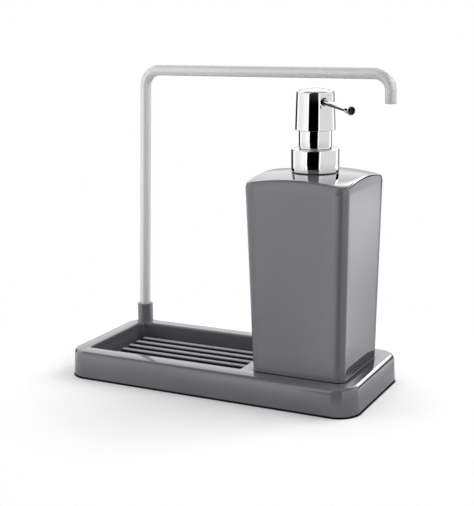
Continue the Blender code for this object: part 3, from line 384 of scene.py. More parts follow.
def make_tray(grey, ribbed):
    tray = slab()
    cut(tray, dish_cutter())
    edit(tray)
    pick(tray, "edges", on_dish_rim)
    bpy.ops.mesh.bevel(offset=DISH_EDGE_ROUND, segments=4, affect="EDGES")
    leave_edit()
    seat = block(
        "seat_space",
        (PUMP_X - SEAT_HALF, PUMP_Y - SEAT_HALF, TRAY_TOP - SEAT_DEPTH),
        (PUMP_X + SEAT_HALF, PUMP_Y + SEAT_HALF, TRAY_TOP + MM),
    )
    edit(seat)
    round_uprights(seat, SEAT_CORNER, 8)
    leave_edit()
    cut(tray, seat)
    cut(tray, underside_cutter())
    hollow_low = (DISH_LEFT + DISH_CORNER, DISH_FRONT + DISH_CORNER, TRAY_BOTTOM - MM)
    hollow_high = (DISH_RIGHT - DISH_CORNER, DISH_BACK - DISH_CORNER, DISH_FLOOR - TRAY_WALL)
    cut(tray, block("floor_space", hollow_low, hollow_high))
    cut(tray, round_cutter(SOCKET_BORE, RAIL_FOOT - RAIL_SEAT_GAP, SOCKET_TOP, (RAIL_X, RAIL_Y)))
    for place in foot_places():
        cut(tray, round_cutter(FOOT_POCKET_RADIUS, TRAY_BOTTOM - MM, FOOT_POCKET_TOP, place))
    settle(tray)
    finish_piece(tray, "base", grey)
    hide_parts("tray")
    make_ribs(ribbed)
    make_socket(grey)


def make_ribs(grey):
    """One rounded rib is modelled and copied across the dish."""
    length = DISH_RIGHT - DISH_LEFT - 2 * RIB_END_GAP
    middle_x, middle_y = (DISH_LEFT + DISH_RIGHT) / 2, (DISH_FRONT + DISH_BACK) / 2
    first_y = middle_y - (RIB_COUNT - 1) / 2 * RIB_PITCH
    rib = block(
        "dish_rib_1",
        (middle_x - length / 2, first_y - RIB_WIDTH / 2, DISH_FLOOR - 0.3 * MM),
        (middle_x + length / 2, first_y + RIB_WIDTH / 2, DISH_FLOOR + RIB_HEIGHT),
    )
    edit(rib)
    round_uprights(rib, RIB_WIDTH / 2 - 0.05 * MM, 8)
    pick(rib, "faces", faces_up)
    bpy.ops.mesh.bevel(offset=RIB_ROUND, segments=5, affect="EDGES")
    leave_edit()
    settle(rib)
    ribs = [rib]
    for number in range(1, RIB_COUNT):
        copy = rib.copy()
        copy.data = rib.data.copy()
        copy.name = f"dish_rib_{number + 1}"
        bpy.context.scene.collection.objects.link(copy)
        copy.location = (0, number * RIB_PITCH, 0)
        take(copy)
        bpy.ops.object.transform_apply(location=True)
        ribs.append(copy)
    for piece in ribs:
        finish_piece(piece, "base", grey)


def make_socket(grey):
    top, bottom = SOCKET_TOP / MM, TRAY_TOP / MM - 1
    outer, bore = SOCKET_RADIUS / MM, SOCKET_BORE / MM
    profile = rounded_profile([
        (bore, bottom, 0), (outer + 0.7, bottom, 0), (outer + 0.6, bottom + 1.05, 0.05),
        (outer, bottom + 1.7, 0.5), (outer, top, 0.5), (bore, top, 0.25),
    ])
    socket = turned_piece("rail_socket", profile, facets=64, place=(RAIL_X, RAIL_Y))
    finish_piece(socket, "base", grey)


# Towel rail
def bend_points(centre, start, end, steps=20):
    """Points of a bend of the rail round a centre (x, z), from one angle to another."""
    points = []
    for step in range(steps + 1):
        angle = start + step / steps * (end - start)
        x = centre[0] + RAIL_BEND * math.cos(angle)
        z = centre[1] + RAIL_BEND * math.sin(angle)
        points.append((x, RAIL_Y, z))
    return points


def make_rail(satin):
    """Tube that stands upright in its socket, leans a little above it, and bends twice."""
    high = RAIL_ARM - RAIL_BEND
    rise = high + RAIL_BEND * math.sin(RAIL_LEAN) - SOCKET_TOP
    first = RAIL_X + rise * math.tan(RAIL_LEAN) + RAIL_BEND * math.cos(RAIL_LEAN)
    route = [(RAIL_X, RAIL_Y, RAIL_FOOT), (RAIL_X, RAIL_Y, SOCKET_TOP)]
    route += bend_points((first, high), math.pi - RAIL_LEAN, math.pi / 2)
    route += bend_points((RAIL_X + RAIL_SPAN - RAIL_BEND, high), math.pi / 2, 0)
    route.append((RAIL_X + RAIL_SPAN, RAIL_Y, RAIL_DROP_END))
    curve = bpy.data.curves.new("towel_rail_tube", "CURVE")
    curve.dimensions = "3D"
    curve.bevel_depth = RAIL_RADIUS
    curve.bevel_resolution = 14
    spline = curve.splines.new("POLY")
    spline.points.add(len(route) - 1)
    for point, place in zip(spline.points, route):
        point.co = (*place, 1)
    tube = bpy.data.objects.new("towel_rail_tube", curve)
    bpy.context.scene.collection.objects.link(tube)
    take(tube)
    bpy.ops.object.convert(target="MESH")
    tube = name_piece("towel_rail_tube")
    settle(tube)
    give_wall(tube, RAIL_WALL)
    rim = tube.modifiers.new("rim", "BEVEL")
    rim.width = 0.2 * MM
    rim.segments = 2
    rim.limit_method = "ANGLE"
    rim.angle_limit = math.radians(60)
    bpy.ops.object.modifier_apply(modifier=rim.name)
    bpy.ops.object.shade_smooth_by_angle(angle=SMOOTH_ANGLE)
    finish_piece(tube, "rail", satin)
    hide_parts("towel_rail")


# Bottle
def half_at(z):
    return FOOT_HALF + (SHOULDER_HALF - FOOT_HALF) * (z - BOTTLE_FOOT) / (SHOULDER_Z - BOTTLE_FOOT)


def crown_z(x, y):
    u, v = (x - PUMP_X) / SHOULDER_HALF, (y - PUMP_Y) / SHOULDER_HALF
    return BOTTLE_APEX - BOTTLE_CROWN * (u * u + v * v) - CORNER_DROP * u * u * v * v


def ring_radius(piece):
    mesh = bmesh.from_edit_mesh(piece.data)
    reaches = [math.hypot(v.co.x - PUMP_X, v.co.y - PUMP_Y) for v in mesh.verts if v.select]
    return sum(reaches) / len(reaches)


def next_ring(piece, growth, z, level=None, roundness=0):
    """Pulls the picked ring up to height z, widens it, and lets the height rule lift its points."""
    mesh = bmesh.from_edit_mesh(piece.data)
    ring = [v.co.z for v in mesh.verts if v.select]
    rise = z - sum(ring) / len(ring)
    bpy.ops.mesh.extrude_region_move(TRANSFORM_OT_translate={"value": (0, 0, rise)})
    bpy.ops.transform.resize(value=(growth, growth, 0), center_override=(PUMP_X, PUMP_Y, z))
    if roundness:
        bpy.ops.transform.tosphere(value=roundness)
    if level:
        mesh = bmesh.from_edit_mesh(piece.data)
        for vert in mesh.verts:
            if vert.select:
                vert.co.z = level(vert.co.x, vert.co.y)
        bmesh.update_edit_mesh(piece.data)


def crown_level(below, share):
    """Height rule between the level shoulder line and the domed top."""
    return lambda x, y: SHOULDER_Z + (crown_z(x, y) - below - SHOULDER_Z) * share


def bottle_foot_outline():
    """Rounded square at the foot, its sides divided so that the domed top can bend them."""
    start = FOOT_HALF - FOOT_DISH_INSET
    deselect()
    middle = (PUMP_X, PUMP_Y, BOTTLE_FOOT + FOOT_DISH_DEPTH)
    bpy.ops.mesh.primitive_plane_add(size=2 * start, location=middle)
    piece = name_piece("soap_bottle")
    bpy.ops.object.transform_apply(location=True)
    edit(piece)
    bpy.ops.mesh.select_all(action="SELECT")
    bpy.ops.mesh.bevel(offset=BOTTLE_CORNER * start / FOOT_HALF, segments=10, affect="VERTICES")
    pick(piece, "edges", lambda edge: edge.calc_length() > start)
    bpy.ops.mesh.subdivide(number_cuts=15)
    pick(piece, "edges", lambda edge: True)
    return piece, start


def bottle_rings():
    """Half widths, heights and height rules of the skin from the foot to the crease of the top."""
    rings = [(FOOT_HALF - inset, BOTTLE_FOOT, None) for inset in (FOOT_RIM_INSET, FOOT_ROUND_INSET)]
    for step in range(6):
        angle = step / 5 * math.pi / 2
        z = BOTTLE_FOOT + MM * (1 - math.cos(angle))
        rings.append((FOOT_HALF - MM * (1 - math.sin(angle)), z, None))
    for share in (0.02, 0.25, 0.5, 0.75, 0.97, 1):
        z = BOTTLE_FOOT + MM + (SHOULDER_Z - BOTTLE_FOOT - MM) * share
        rings.append((half_at(z), z, None))
    edge_z = BOTTLE_APEX - BOTTLE_CROWN - TOP_ROUND
    for step in range(1, 7):
        share = step / 6
        z = SHOULDER_Z + (edge_z - SHOULDER_Z) * share
        rings.append((half_at(z) - BEVEL_INSET * share ** 2, z, crown_level(TOP_ROUND, share)))
    brim = rings[-1][0]
    for step in range(1, 8):
        angle = step / 7 * math.pi / 2
        inset = TOP_ROUND * (1 - math.cos(angle))
        level = crown_level(TOP_ROUND * (1 - math.sin(angle)), 1)
        rings.append((brim - inset, BOTTLE_APEX, level))
    return rings


def make_neck_thread(grey):
    """One ridge section, wound once round the neck."""
    deselect()
    start = Vector((PUMP_X + NECK_RADIUS + THREAD_MIDDLE, PUMP_Y, THREAD_START))
    bpy.ops.mesh.primitive_plane_add(size=1, location=start, rotation=(math.pi / 2, 0, 0))
    ridge = name_piece("neck_thread")
    ridge.scale = (THREAD_DEPTH, THREAD_WIDTH, 1)
    bpy.ops.object.transform_apply(location=True, rotation=True, scale=True)
    edit(ridge)
    pick(ridge, "verts", lambda vert: vert.co.x > start.x)
    bpy.ops.transform.resize(value=(1, 1, 0.5), center_override=start)
    leave_edit()
    wind_up(ridge, 64, THREAD_PITCH)
    finish_piece(ridge, "container", grey)


def make_spring(steel):
    """Round wire wound upwards from the cylinder's floor; the real spring shortens as the head is
    pressed, but this wire keeps one length.
    """
    low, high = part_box("return_spring")
    deselect()
    foot = low.z + SPRING_WIRE
    start = (PUMP_X + SPRING_RADIUS, PUMP_Y, foot)
    bpy.ops.mesh.primitive_circle_add(
        vertices=12, radius=SPRING_WIRE, location=start, rotation=(math.pi / 2, 0, 0)
    )
    wire = name_piece("spring_wire")
    bpy.ops.object.transform_apply(location=True, rotation=True)
    wind_up(wire, 40, (high.z - SPRING_WIRE - foot) / SPRING_TURNS, SPRING_TURNS)
    finish_piece(wire, "pump", steel)
    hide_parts("return_spring")
    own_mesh(wire)


def make_bottle(grey):
    bottle, half = bottle_foot_outline()
    for next_half, z, level in bottle_rings():
        next_ring(bottle, next_half / half, z, level)
        half = next_half
    crease = ring_radius(bottle)
    for step in range(1, 13):
        share = step / 12
        growth = (crease + (NECK_RADIUS - crease) * share) / ring_radius(bottle)
        next_ring(bottle, growth, BOTTLE_APEX, crown_level(0, 1), share ** 2)
    for z in (NECK_FOOT, NECK_TOP):
        next_ring(bottle, 1, z)
    # Each ring carries the foot's face up with it, which would close the neck
    bpy.ops.mesh.delete(type="ONLY_FACE")
    leave_edit()
    settle(bottle)
    give_wall(bottle, BOTTLE_WALL)
    bpy.ops.object.shade_smooth_by_angle(angle=SMOOTH_ANGLE)
    finish_piece(bottle, "container", grey)
    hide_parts("bottle")


# Pump's bright pieces: their profiles are (radius, height, rounding) in millimetres
def make_collar(chrome):
    profile = rounded_profile([
        (15.4, 152.7, 0.1), (16.0, 152.7, 0.6), (16.0, 168.1, 0.8),
        (10.6, 168.1, 0.2), (10.6, 167.3, 0.1), (15.4, 167.3, 0.1),
    ])
    collar = turned_piece("collar_sleeve_bright", profile, facets=128)
    finish_piece(collar, "closure", chrome)
    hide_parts("collar_sleeve")


def make_chimney(chrome):
    profile = rounded_profile([
        (10.6, 168.4, 0.1), (11.0, 168.4, 0.15), (11.0, 182.8, 0.35),
        (7.4, 182.8, 0.15), (7.4, 182.4, 0.1), (10.6, 182.4, 0.1),
    ])
    chimney = turned_piece("chimney_sleeve_bright", profile, facets=128)
    finish_piece(chimney, "pump", chrome)
    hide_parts("chimney_sleeve")


def dome(radius, shoulder, rise, steps=14):
    points = []
    for step in range(1, steps):
        r = radius * (1 - step / steps)
        points.append((r, shoulder + rise * (1 - (r / radius) ** 2), 0))
    points.append((0.05, shoulder + rise, 0))
    return points


def make_head(chrome):
    outside = [(13.43, 180.4, 0.3), (12.5, 206.1, 1.5)] + dome(11.0, 206.1, 1.8)
    inside = [(12.63, 180.4, 0.25), (11.7, 205.3, 0.7)] + dome(11.0, 205.3, 1.8)
    profile = rounded_profile(inside[::-1] + outside, closed=False, steps=8)
    head = turned_piece("pump_head_bright", profile, facets=128, closed=False)
    hole = round_cutter(SPOUT_HOLE, 0, SPOUT_HOLE_LENGTH, (0, 0))
    lay_along_spout(hole, SPOUT_HOLE_START)
    cut(head, hole)
    settle(head)
    finish_piece(head, "head", chrome)
    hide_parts("head_sleeve")


def lay_along_spout(piece, reach):
    """Points an upright piece down the spout, its foot at this reach from the pump's axis."""
    out = Vector((math.sin(SPOUT_DIRECTION), -math.cos(SPOUT_DIRECTION), 0))
    along = out * math.cos(SPOUT_FALL) - Vector((0, 0, math.sin(SPOUT_FALL)))
    rise = (SPOUT_REACH - reach) * math.tan(SPOUT_FALL)
    place = Vector((PUMP_X, PUMP_Y, SPOUT_END_Z + rise)) + out * reach
    turned = along.to_track_quat("Z", "Y").to_matrix().to_4x4()
    piece.matrix_world = Matrix.Translation(place) @ turned
    settle(piece)


def is_bore_face(face, end):
    """Faces inside the spout's mouth, from a little behind its rim."""
    away = math.hypot(face.center.x, face.center.y)
    return away < BORE_REACH and end - BORE_REACH < face.center.z < end - BORE_LIP


def make_spout(chrome, tube_chrome, bore_shade):
    slope = math.cos(SPOUT_FALL)
    tip_start = SPOUT_REACH / MM - TIP_LENGTH_MM
    length = (tip_start + TUBE_IN_TIP_MM - SPOUT_INNER / MM) / slope
    tube_profile = rounded_profile([
        (1.0, 0, 0.1), (2.15, 0, 0.1), (1.67, length, 0.1), (1.0, length, 0.1),
    ])
    tube = turned_piece("spout_tube_bright", tube_profile, facets=64, place=(0, 0))
    lay_along_spout(tube, SPOUT_INNER)
    finish_piece(tube, "head", tube_chrome)
    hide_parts("spout_tube")
    end = TIP_LENGTH_MM / slope
    tip_profile = rounded_profile([
        (2.05, 0, 0.1), (2.5, 0, 0.3), (2.6, end * 0.45, 0.8), (3.0, end, 0.25), (2.5, end, 0.15),
        (2.1, end - 2.0, 0.3), (1.0, end - 2.2, 0.1), (1.0, 2.6, 0.1), (1.98, 2.6, 0.1),
    ])
    tip = turned_piece("spout_tip_bright", tip_profile, facets=64, place=(0, 0))
    bore = [is_bore_face(face, end * MM) for face in tip.data.polygons]
    lay_along_spout(tip, SPOUT_REACH - TIP_LENGTH_MM * MM)
    finish_piece(tip, "head", chrome)
    # The faces inside the mouth get bore_shade: near-black painted shade
    tip.data.materials.append(bore_shade)
    for face, inner in zip(tip.data.polygons, bore):
        if inner:
            face.material_index = 1
    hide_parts("spout_tip")


# Finishes: colours that the pattern of each finish moves between, and bands drawn by height that
# paint shade and highlights
GREY_COLOURS = (0.112, 0.110, 0.124), (0.122, 0.119, 0.134)
RIB_COLOURS = (0.115, 0.113, 0.127), (0.125, 0.122, 0.137)
SATIN_COLOURS = (0.71, 0.71, 0.72), (0.74, 0.74, 0.75)
CHROME_COLOURS = (0.90, 0.90, 0.905), (0.93, 0.93, 0.935)
BORE_COLOURS = (0.010, 0.010, 0.011), (0.016, 0.016, 0.017)
WHITE_COLOURS = (0.74, 0.74, 0.72), (0.80, 0.80, 0.79)
STEEL_COLOURS = (0.52, 0.52, 0.53), (0.62, 0.62, 0.62)
RUBBER_COLOURS = (0.020, 0.020, 0.021), (0.040, 0.040, 0.042)
MILKY_COLOUR = (0.82, 0.84, 0.85)
NOISE_SPAN = (0.3, 0.7)
# Painted shade inside the dish: a darker colour and less coat down its walls and on its floor
DISH_TONE, DISH_FLOOR_TONE, DISH_COAT = 0.7, 0.3, 0.2
DISH_SHADE_BAND, DISH_FLOOR_BAND = (0.7 * MM, 2.0 * MM), 1.5 * MM
# Painted highlight along the rib tops and painted shade down their sides
RIB_TOP_BAND, RIB_TONES = (0.3 * MM, 0.8 * MM), (0.15, 3.2)
# Painted contact shade round the bottle's foot
FOOT_SHADE_BAND, FOOT_TONE = (0.6 * MM, 1.2 * MM), 0.05
# Painted reflection: a dark line along the lower side of the spout
SPOUT_LINE_SIDE, SPOUT_LINE_REACH = (-0.476, -0.450, -0.773), 2.5 * MM
SPOUT_LINE = [(0.0, 1.0), (0.38, 1.0), (0.44, 0.02), (0.66, 0.02), (0.74, 1.0)]


def ramp_node(nodes, stops):
    ramp = nodes.new("ShaderNodeValToRGB")
    elements = ramp.color_ramp.elements
    while len(elements) < len(stops):
        elements.new(0.5)
    for element, (position, level) in zip(elements, stops):
        element.position = position
        element.color = (level, level, level, 1)
    return ramp


def math_node(nodes, links, operation, first, second):
    node = nodes.new("ShaderNodeMath")
    node.operation = operation
    for socket, value in zip(node.inputs, (first, second)):
        if isinstance(value, (int, float)):
            socket.default_value = value
        else:
            links.new(value, socket)
    return node.outputs["Value"]


def spread_node(nodes, links, source, low, high, to_low=0.0, to_high=1.0):
    """Maps low to high of a value onto to_low to to_high, and holds it outside."""
    node = nodes.new("ShaderNodeMapRange")
    ends = {"From Min": low, "From Max": high, "To Min": to_low, "To Max": to_high}
    for end, value in ends.items():
        node.inputs[end].default_value = value
    links.new(source, node.inputs["Value"])
    return node.outputs["Result"]


def blend_node(nodes, links, share, first, second, mode="MIX"):
    """Blends two colours, each a level of grey or the output of a node, by a share."""
    node = nodes.new("ShaderNodeMix")
    node.data_type = "RGBA"
    node.blend_type = mode
    for name, value in (("Factor", share), ("A", first), ("B", second)):
        if isinstance(value, float):
            level = value if name == "Factor" else (value, value, value, 1)
            node.inputs[name].default_value = level
        else:
            links.new(value, node.inputs[name])
    return node.outputs["Result"]


def object_axes(nodes, links):
    """X, Y and Z of the piece's own coordinates."""
    place = nodes.new("ShaderNodeTexCoord")
    split = nodes.new("ShaderNodeSeparateXYZ")
    links.new(place.outputs["Object"], split.inputs["Vector"])
    return split.outputs


def apply_tone(finish, tone):
    """Multiplies the colour of a finish by a tone."""
    nodes, links = finish.node_tree.nodes, finish.node_tree.links
    colour = nodes["Principled BSDF"].inputs["Base Color"]
    toned = blend_node(nodes, links, 1.0, colour.links[0].from_socket, tone, "MULTIPLY")
    links.new(toned, colour)


def dull(finish, coat):
    """Gives a finish this weight of coat, and half of it as its specular level."""
    nodes, links = finish.node_tree.nodes, finish.node_tree.links
    shader = nodes["Principled BSDF"]
    links.new(coat, shader.inputs["Coat Weight"])
    halved = math_node(nodes, links, "MULTIPLY", coat, 0.5)
    links.new(halved, shader.inputs["Specular IOR Level"])


def new_finish(name, colour, roughness, metallic=0.0):
    finish = bpy.data.materials.new(name)
    finish.use_nodes = True
    shader = finish.node_tree.nodes["Principled BSDF"]
    shader.inputs["Base Color"].default_value = (*colour, 1)
    shader.inputs["Roughness"].default_value = roughness
    shader.inputs["Metallic"].default_value = metallic
    return finish, shader


def object_noise(tree, scale, detail=4, stretch=(1, 1, 1)):
    nodes, links = tree.nodes, tree.links
    place = nodes.new("ShaderNodeTexCoord")
    mapping = nodes.new("ShaderNodeMapping")
    mapping.inputs["Scale"].default_value = stretch
    noise = nodes.new("ShaderNodeTexNoise")
    noise.inputs["Scale"].default_value = scale
    noise.inputs["Detail"].default_value = detail
    links.new(place.outputs["Object"], mapping.inputs["Vector"])
    links.new(mapping.outputs["Vector"], noise.inputs["Vector"])
    return noise.outputs["Fac"]


def vary(tree, source, low, high, socket):
    """Spreads a pattern between two values, or two colours, into a shader's socket."""
    if isinstance(low, tuple):
        ramp = tree.nodes.new("ShaderNodeValToRGB")
        for element, place, colour in zip(ramp.color_ramp.elements, NOISE_SPAN, (low, high)):
            element.position, element.color = place, (*colour, 1)
        tree.links.new(source, ramp.inputs["Fac"])
        tree.links.new(ramp.outputs["Color"], socket)
        return
    spread = spread_node(tree.nodes, tree.links, source, *NOISE_SPAN, low, high)
    tree.links.new(spread, socket)


def add_bump(tree, shader, source, strength, distance, under=None):
    bump = tree.nodes.new("ShaderNodeBump")
    bump.inputs["Strength"].default_value = strength
    bump.inputs["Distance"].default_value = distance
    tree.links.new(source, bump.inputs["Height"])
    if under:
        tree.links.new(under, bump.inputs["Normal"])
    tree.links.new(bump.outputs["Normal"], shader.inputs["Normal"])
    return bump.outputs["Normal"]


def plastic_finish(name, low, high, roughness, peel=0.04, coat=0.0):
    finish, shader = new_finish(name, low, roughness[0])
    tree = finish.node_tree
    vary(tree, object_noise(tree, 26, 3), low, high, shader.inputs["Base Color"])
    vary(tree, object_noise(tree, 180, 6), roughness[0], roughness[1], shader.inputs["Roughness"])
    broad = add_bump(tree, shader, object_noise(tree, 90, 2), peel, 0.3 * MM)
    add_bump(tree, shader, object_noise(tree, 1400, 4), peel, 0.05 * MM, broad)
    shader.inputs["Coat Weight"].default_value = coat
    shader.inputs["Coat Roughness"].default_value = 0.04
    return finish


def shade_dish(finish):
    """Darkens the moulding inside the dish, where the walls and ribs shade one another."""
    nodes, links = finish.node_tree.nodes, finish.node_tree.links
    axes = object_axes(nodes, links)
    brim, depth = (TRAY_TOP - level for level in DISH_SHADE_BAND)
    share = spread_node(nodes, links, axes["Z"], brim, depth)
    for axis, low, high in (("X", DISH_LEFT, DISH_RIGHT), ("Y", DISH_FRONT, DISH_BACK)):
        offset = math_node(nodes, links, "SUBTRACT", axes[axis], (low + high) / 2)
        offset = math_node(nodes, links, "ABSOLUTE", offset, 0)
        within = math_node(nodes, links, "LESS_THAN", offset, (high - low) / 2 + MM)
        share = math_node(nodes, links, "MULTIPLY", share, within)
    floor = spread_node(nodes, links, axes["Z"], DISH_FLOOR + DISH_FLOOR_BAND, DISH_FLOOR)
    low_share = math_node(nodes, links, "MULTIPLY", share, floor)
    colour = nodes["Principled BSDF"].inputs["Base Color"]
    source = colour.links[0].from_socket
    for amount, tone in ((share, DISH_TONE), (low_share, DISH_FLOOR_TONE)):
        source = blend_node(nodes, links, amount, source, tone, "MULTIPLY")
    links.new(source, colour)
    dull(finish, spread_node(nodes, links, share, 0.0, 1.0, 1.0, DISH_COAT))


def shade_foot(finish):
    """Paints shade on the turned-in edge round the bottle's foot, where it meets the tray: a darker
    colour and less coat.
    """
    nodes, links = finish.node_tree.nodes, finish.node_tree.links
    low, high = (BOTTLE_FOOT + level for level in FOOT_SHADE_BAND)
    tone = spread_node(nodes, links, object_axes(nodes, links)["Z"], low, high, FOOT_TONE)
    dull(finish, tone)
    apply_tone(finish, tone)


def rib_finish(name):
    """Moulding of the ribs, with painted shade down their sides and a painted highlight along their
    tops.
    """
    finish = plastic_finish(name, *RIB_COLOURS, (0.30, 0.38), 0.02)
    nodes, links = finish.node_tree.nodes, finish.node_tree.links
    high, low = (DISH_FLOOR + RIB_HEIGHT - level for level in RIB_TOP_BAND)
    tone = spread_node(nodes, links, object_axes(nodes, links)["Z"], low, high, *RIB_TONES)
    apply_tone(finish, tone)
    return finish


def metal_finish(
    name, low, high, roughness, stretch=(1, 1, 1), brush=0.02, scale=700, metallic=1.0
):
    finish, shader = new_finish(name, low, roughness[0], metallic)
    tree = finish.node_tree
    vary(tree, object_noise(tree, 40, 3), low, high, shader.inputs["Base Color"])
    grain = object_noise(tree, scale, 5, stretch)
    vary(tree, grain, roughness[0], roughness[1], shader.inputs["Roughness"])
    add_bump(tree, shader, grain, brush, 0.02 * MM)
    return finish


def shade_spout(finish):
    """Paints a dark reflection as a line along the lower side of the spout."""
    nodes, links = finish.node_tree.nodes, finish.node_tree.links
    place = nodes.new("ShaderNodeTexCoord")
    offset = nodes.new("ShaderNodeVectorMath")
    offset.operation = "SUBTRACT"
    start = (PUMP_X, PUMP_Y, SPOUT_END_Z + SPOUT_REACH * math.tan(SPOUT_FALL))
    offset.inputs[1].default_value = start
    links.new(place.outputs["Object"], offset.inputs[0])
    below = nodes.new("ShaderNodeVectorMath")
    below.operation = "DOT_PRODUCT"
    below.inputs[1].default_value = SPOUT_LINE_SIDE
    links.new(offset.outputs["Vector"], below.inputs[0])
    line = ramp_node(nodes, SPOUT_LINE)
    share = math_node(nodes, links, "DIVIDE", below.outputs["Value"], SPOUT_LINE_REACH)
    links.new(share, line.inputs["Fac"])
    apply_tone(finish, line.outputs["Color"])


def clear_finish(name, colour):
    finish, shader = new_finish(name, colour, 0.3)
    tree = finish.node_tree
    vary(tree, object_noise(tree, 120, 4), 0.22, 0.4, shader.inputs["Roughness"])
    add_bump(tree, shader, object_noise(tree, 600, 3), 0.05, 0.05 * MM)
    shader.inputs["Transmission Weight"].default_value = 0.6
    shader.inputs["IOR"].default_value = 1.49
    return finish


def rubber_finish(name):
    low, high = RUBBER_COLOURS
    finish, shader = new_finish(name, low, 0.75)
    tree = finish.node_tree
    vary(tree, object_noise(tree, 300, 5), low, high, shader.inputs["Base Color"])
    vary(tree, object_noise(tree, 900, 4), 0.65, 0.9, shader.inputs["Roughness"])
    add_bump(tree, shader, object_noise(tree, 2600, 4), 0.25, 0.08 * MM)
    return finish


def finish_piece(piece, body, finish):
    piece.data.materials.clear()
    piece.data.materials.append(finish)
    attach(piece, body)


def finish_inner_nodes(white, clear, rubber, steel):
    finishes = {
        "foot_front_left": rubber, "foot_front_right": rubber,
        "foot_back_left": rubber, "foot_back_right": rubber,
        "rail_end_plug": rubber, "gasket": rubber,
        "threaded_closure": white, "stem_guide": white, "piston": white,
        "piston_plug": white, "stem": white, "head_insert": white,
        "pump_cylinder": clear, "dip_tube": clear,
        "return_spring": steel, "check_ball": steel,
    }
    for name, finish in finishes.items():
        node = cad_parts[name]
        node.data.materials.clear()
        node.data.materials.append(finish)


# Studio. The floor's greys: for light and camera, a painted shade that reflections see, and a
# painted contact shadow where the tray stands
FLOOR_SIZE, FLOOR_FADE = 6.0, (0.14, 0.24)
FLOOR_TONES, MIRRORED_FLOOR_TONE, CONTACT_TONE = (0.80, 0.98), 0.45, 0.01
REFLECTED_FLOOR = (0.010, 0.070)
CONTACT_SHADE = (0.0, 0.0009)
# Lamps: name, place, aim, width, power
LAMPS = (
    ("soft_key", (0.85, 0.65, 0.95), (0, 0, 0.1), 1.0, 12),
    ("soft_top", (-0.3, 0.2, 1.4), (0, 0, 0.05), 1.2, 5),
    ("left_fill", (-0.46, -0.36, 0.12), (-0.11, 0, 0.04), 0.2, 0.9),
    ("front_fill", (0.1, -1.3, 0.14), (0.05, 0, 0.08), 0.5, 4),
)
# Camera: place and aim in metres, angles in degrees, lens in millimetres, frame in pixels
CAMERA_AIM, CAMERA_DISTANCE = (0.00507, 0, 0.12653), 0.76858
CAMERA_TURN, CAMERA_HEIGHT, CAMERA_ROLL = 26.4, 9.75, -0.61
CAMERA_SENSOR, CAMERA_LENS, CAMERA_CLIP = 36, 78.57, (0.01, 50)
FRAME_HEIGHT, FRAME_SHIFT = 506, -50


def beyond_tray(nodes, links):
    """Distance outwards on the floor from the tray's rounded outline."""
    axes = object_axes(nodes, links)
    squares = []
    for axis, size in (("X", TRAY_LENGTH), ("Y", TRAY_DEPTH)):
        offset = math_node(nodes, links, "ABSOLUTE", axes[axis], 0)
        offset = math_node(nodes, links, "SUBTRACT", offset, size / 2 - TRAY_CORNER)
        offset = math_node(nodes, links, "MAXIMUM", offset, 0)
        squares.append(math_node(nodes, links, "MULTIPLY", offset, offset))
    beyond = math_node(nodes, links, "ADD", *squares)
    beyond = math_node(nodes, links, "SQRT", beyond, 0)
    return math_node(nodes, links, "SUBTRACT", beyond, TRAY_CORNER)


def make_floor():
    """White floor that keeps the shadow and, farther out, lets the white surround through."""
    deselect()
    bpy.ops.mesh.primitive_plane_add(size=FLOOR_SIZE, location=(0, 0, 0))
    floor = name_piece("studio_floor")
    material = bpy.data.materials.new("pale_floor")
    material.use_nodes = True
    nodes, links = material.node_tree.nodes, material.node_tree.links
    shader = nodes["Principled BSDF"]
    shader.inputs["Roughness"].default_value = 0.9
    shader.inputs["Specular IOR Level"].default_value = 0.0
    rays = nodes.new("ShaderNodeLightPath").outputs
    tone = blend_node(nodes, links, rays["Is Camera Ray"], *FLOOR_TONES)
    # Reflections see the floor in painted shade
    tone = blend_node(nodes, links, rays["Is Glossy Ray"], tone, MIRRORED_FLOOR_TONE)
    beyond = beyond_tray(nodes, links)
    # Painted contact shadow: a near-black line round the tray's outline
    contact = spread_node(nodes, links, beyond, *CONTACT_SHADE)
    shaded = blend_node(nodes, links, contact, CONTACT_TONE, tone)
    links.new(shaded, shader.inputs["Base Color"])
    place = nodes.new("ShaderNodeTexCoord")
    reach = nodes.new("ShaderNodeVectorMath")
    reach.operation = "LENGTH"
    links.new(place.outputs["Object"], reach.inputs[0])
    fade = spread_node(nodes, links, reach.outputs["Value"], *FLOOR_FADE)
    fade.node.interpolation_type = "SMOOTHSTEP"
    clear = math_node(nodes, links, "MULTIPLY", fade, rays["Is Camera Ray"])
    distant = spread_node(nodes, links, beyond, *REFLECTED_FLOOR)
    unseen = math_node(nodes, links, "MULTIPLY", distant, rays["Is Glossy Ray"])
    clear = math_node(nodes, links, "MAXIMUM", clear, unseen)
    through = nodes.new("ShaderNodeBsdfTransparent")
    mix = nodes.new("ShaderNodeMixShader")
    links.new(clear, mix.inputs[0])
    links.new(shader.outputs["BSDF"], mix.inputs[1])
    links.new(through.outputs["BSDF"], mix.inputs[2])
    links.new(mix.outputs["Shader"], nodes["Material Output"].inputs["Surface"])
    floor.data.materials.append(material)


# Brightness that polished surfaces see round the studio, by compass angle from -Y towards +X:
# one row for what stands near the horizon, one for what is higher
SURROUND_LOW = [
    (-180, 0.55), (-156, 0.55), (-153, 0.02), (-107, 0.02), (-104, 1.25), (-93, 1.25), (-90, 0.87),
    (-60, 0.90), (-40, 1.05), (-33, 1.05), (-28, 0.90), (-25, 1.25), (-18, 1.25), (-16.5, 0.0),
    (40.5, 0.0), (42, 1.20), (46, 1.20), (49, 0.75), (138, 0.75), (141, 1.25), (150, 1.25),
    (153, 0.90), (163, 0.90), (166, 0.10), (177, 0.10), (179, 0.55),
]
SURROUND_HIGH = [
    (-180, 1.10), (-90, 1.10), (-80, 0.90), (-29, 0.90), (-17, 1.10), (-15, 0.05), (37, 0.05),
    (39, 1.10), (60, 0.90), (138, 0.90), (165, 1.10), (179, 1.10),
]
SURROUND_PEAK = 1.30
SURROUND_SLANT = 0.2
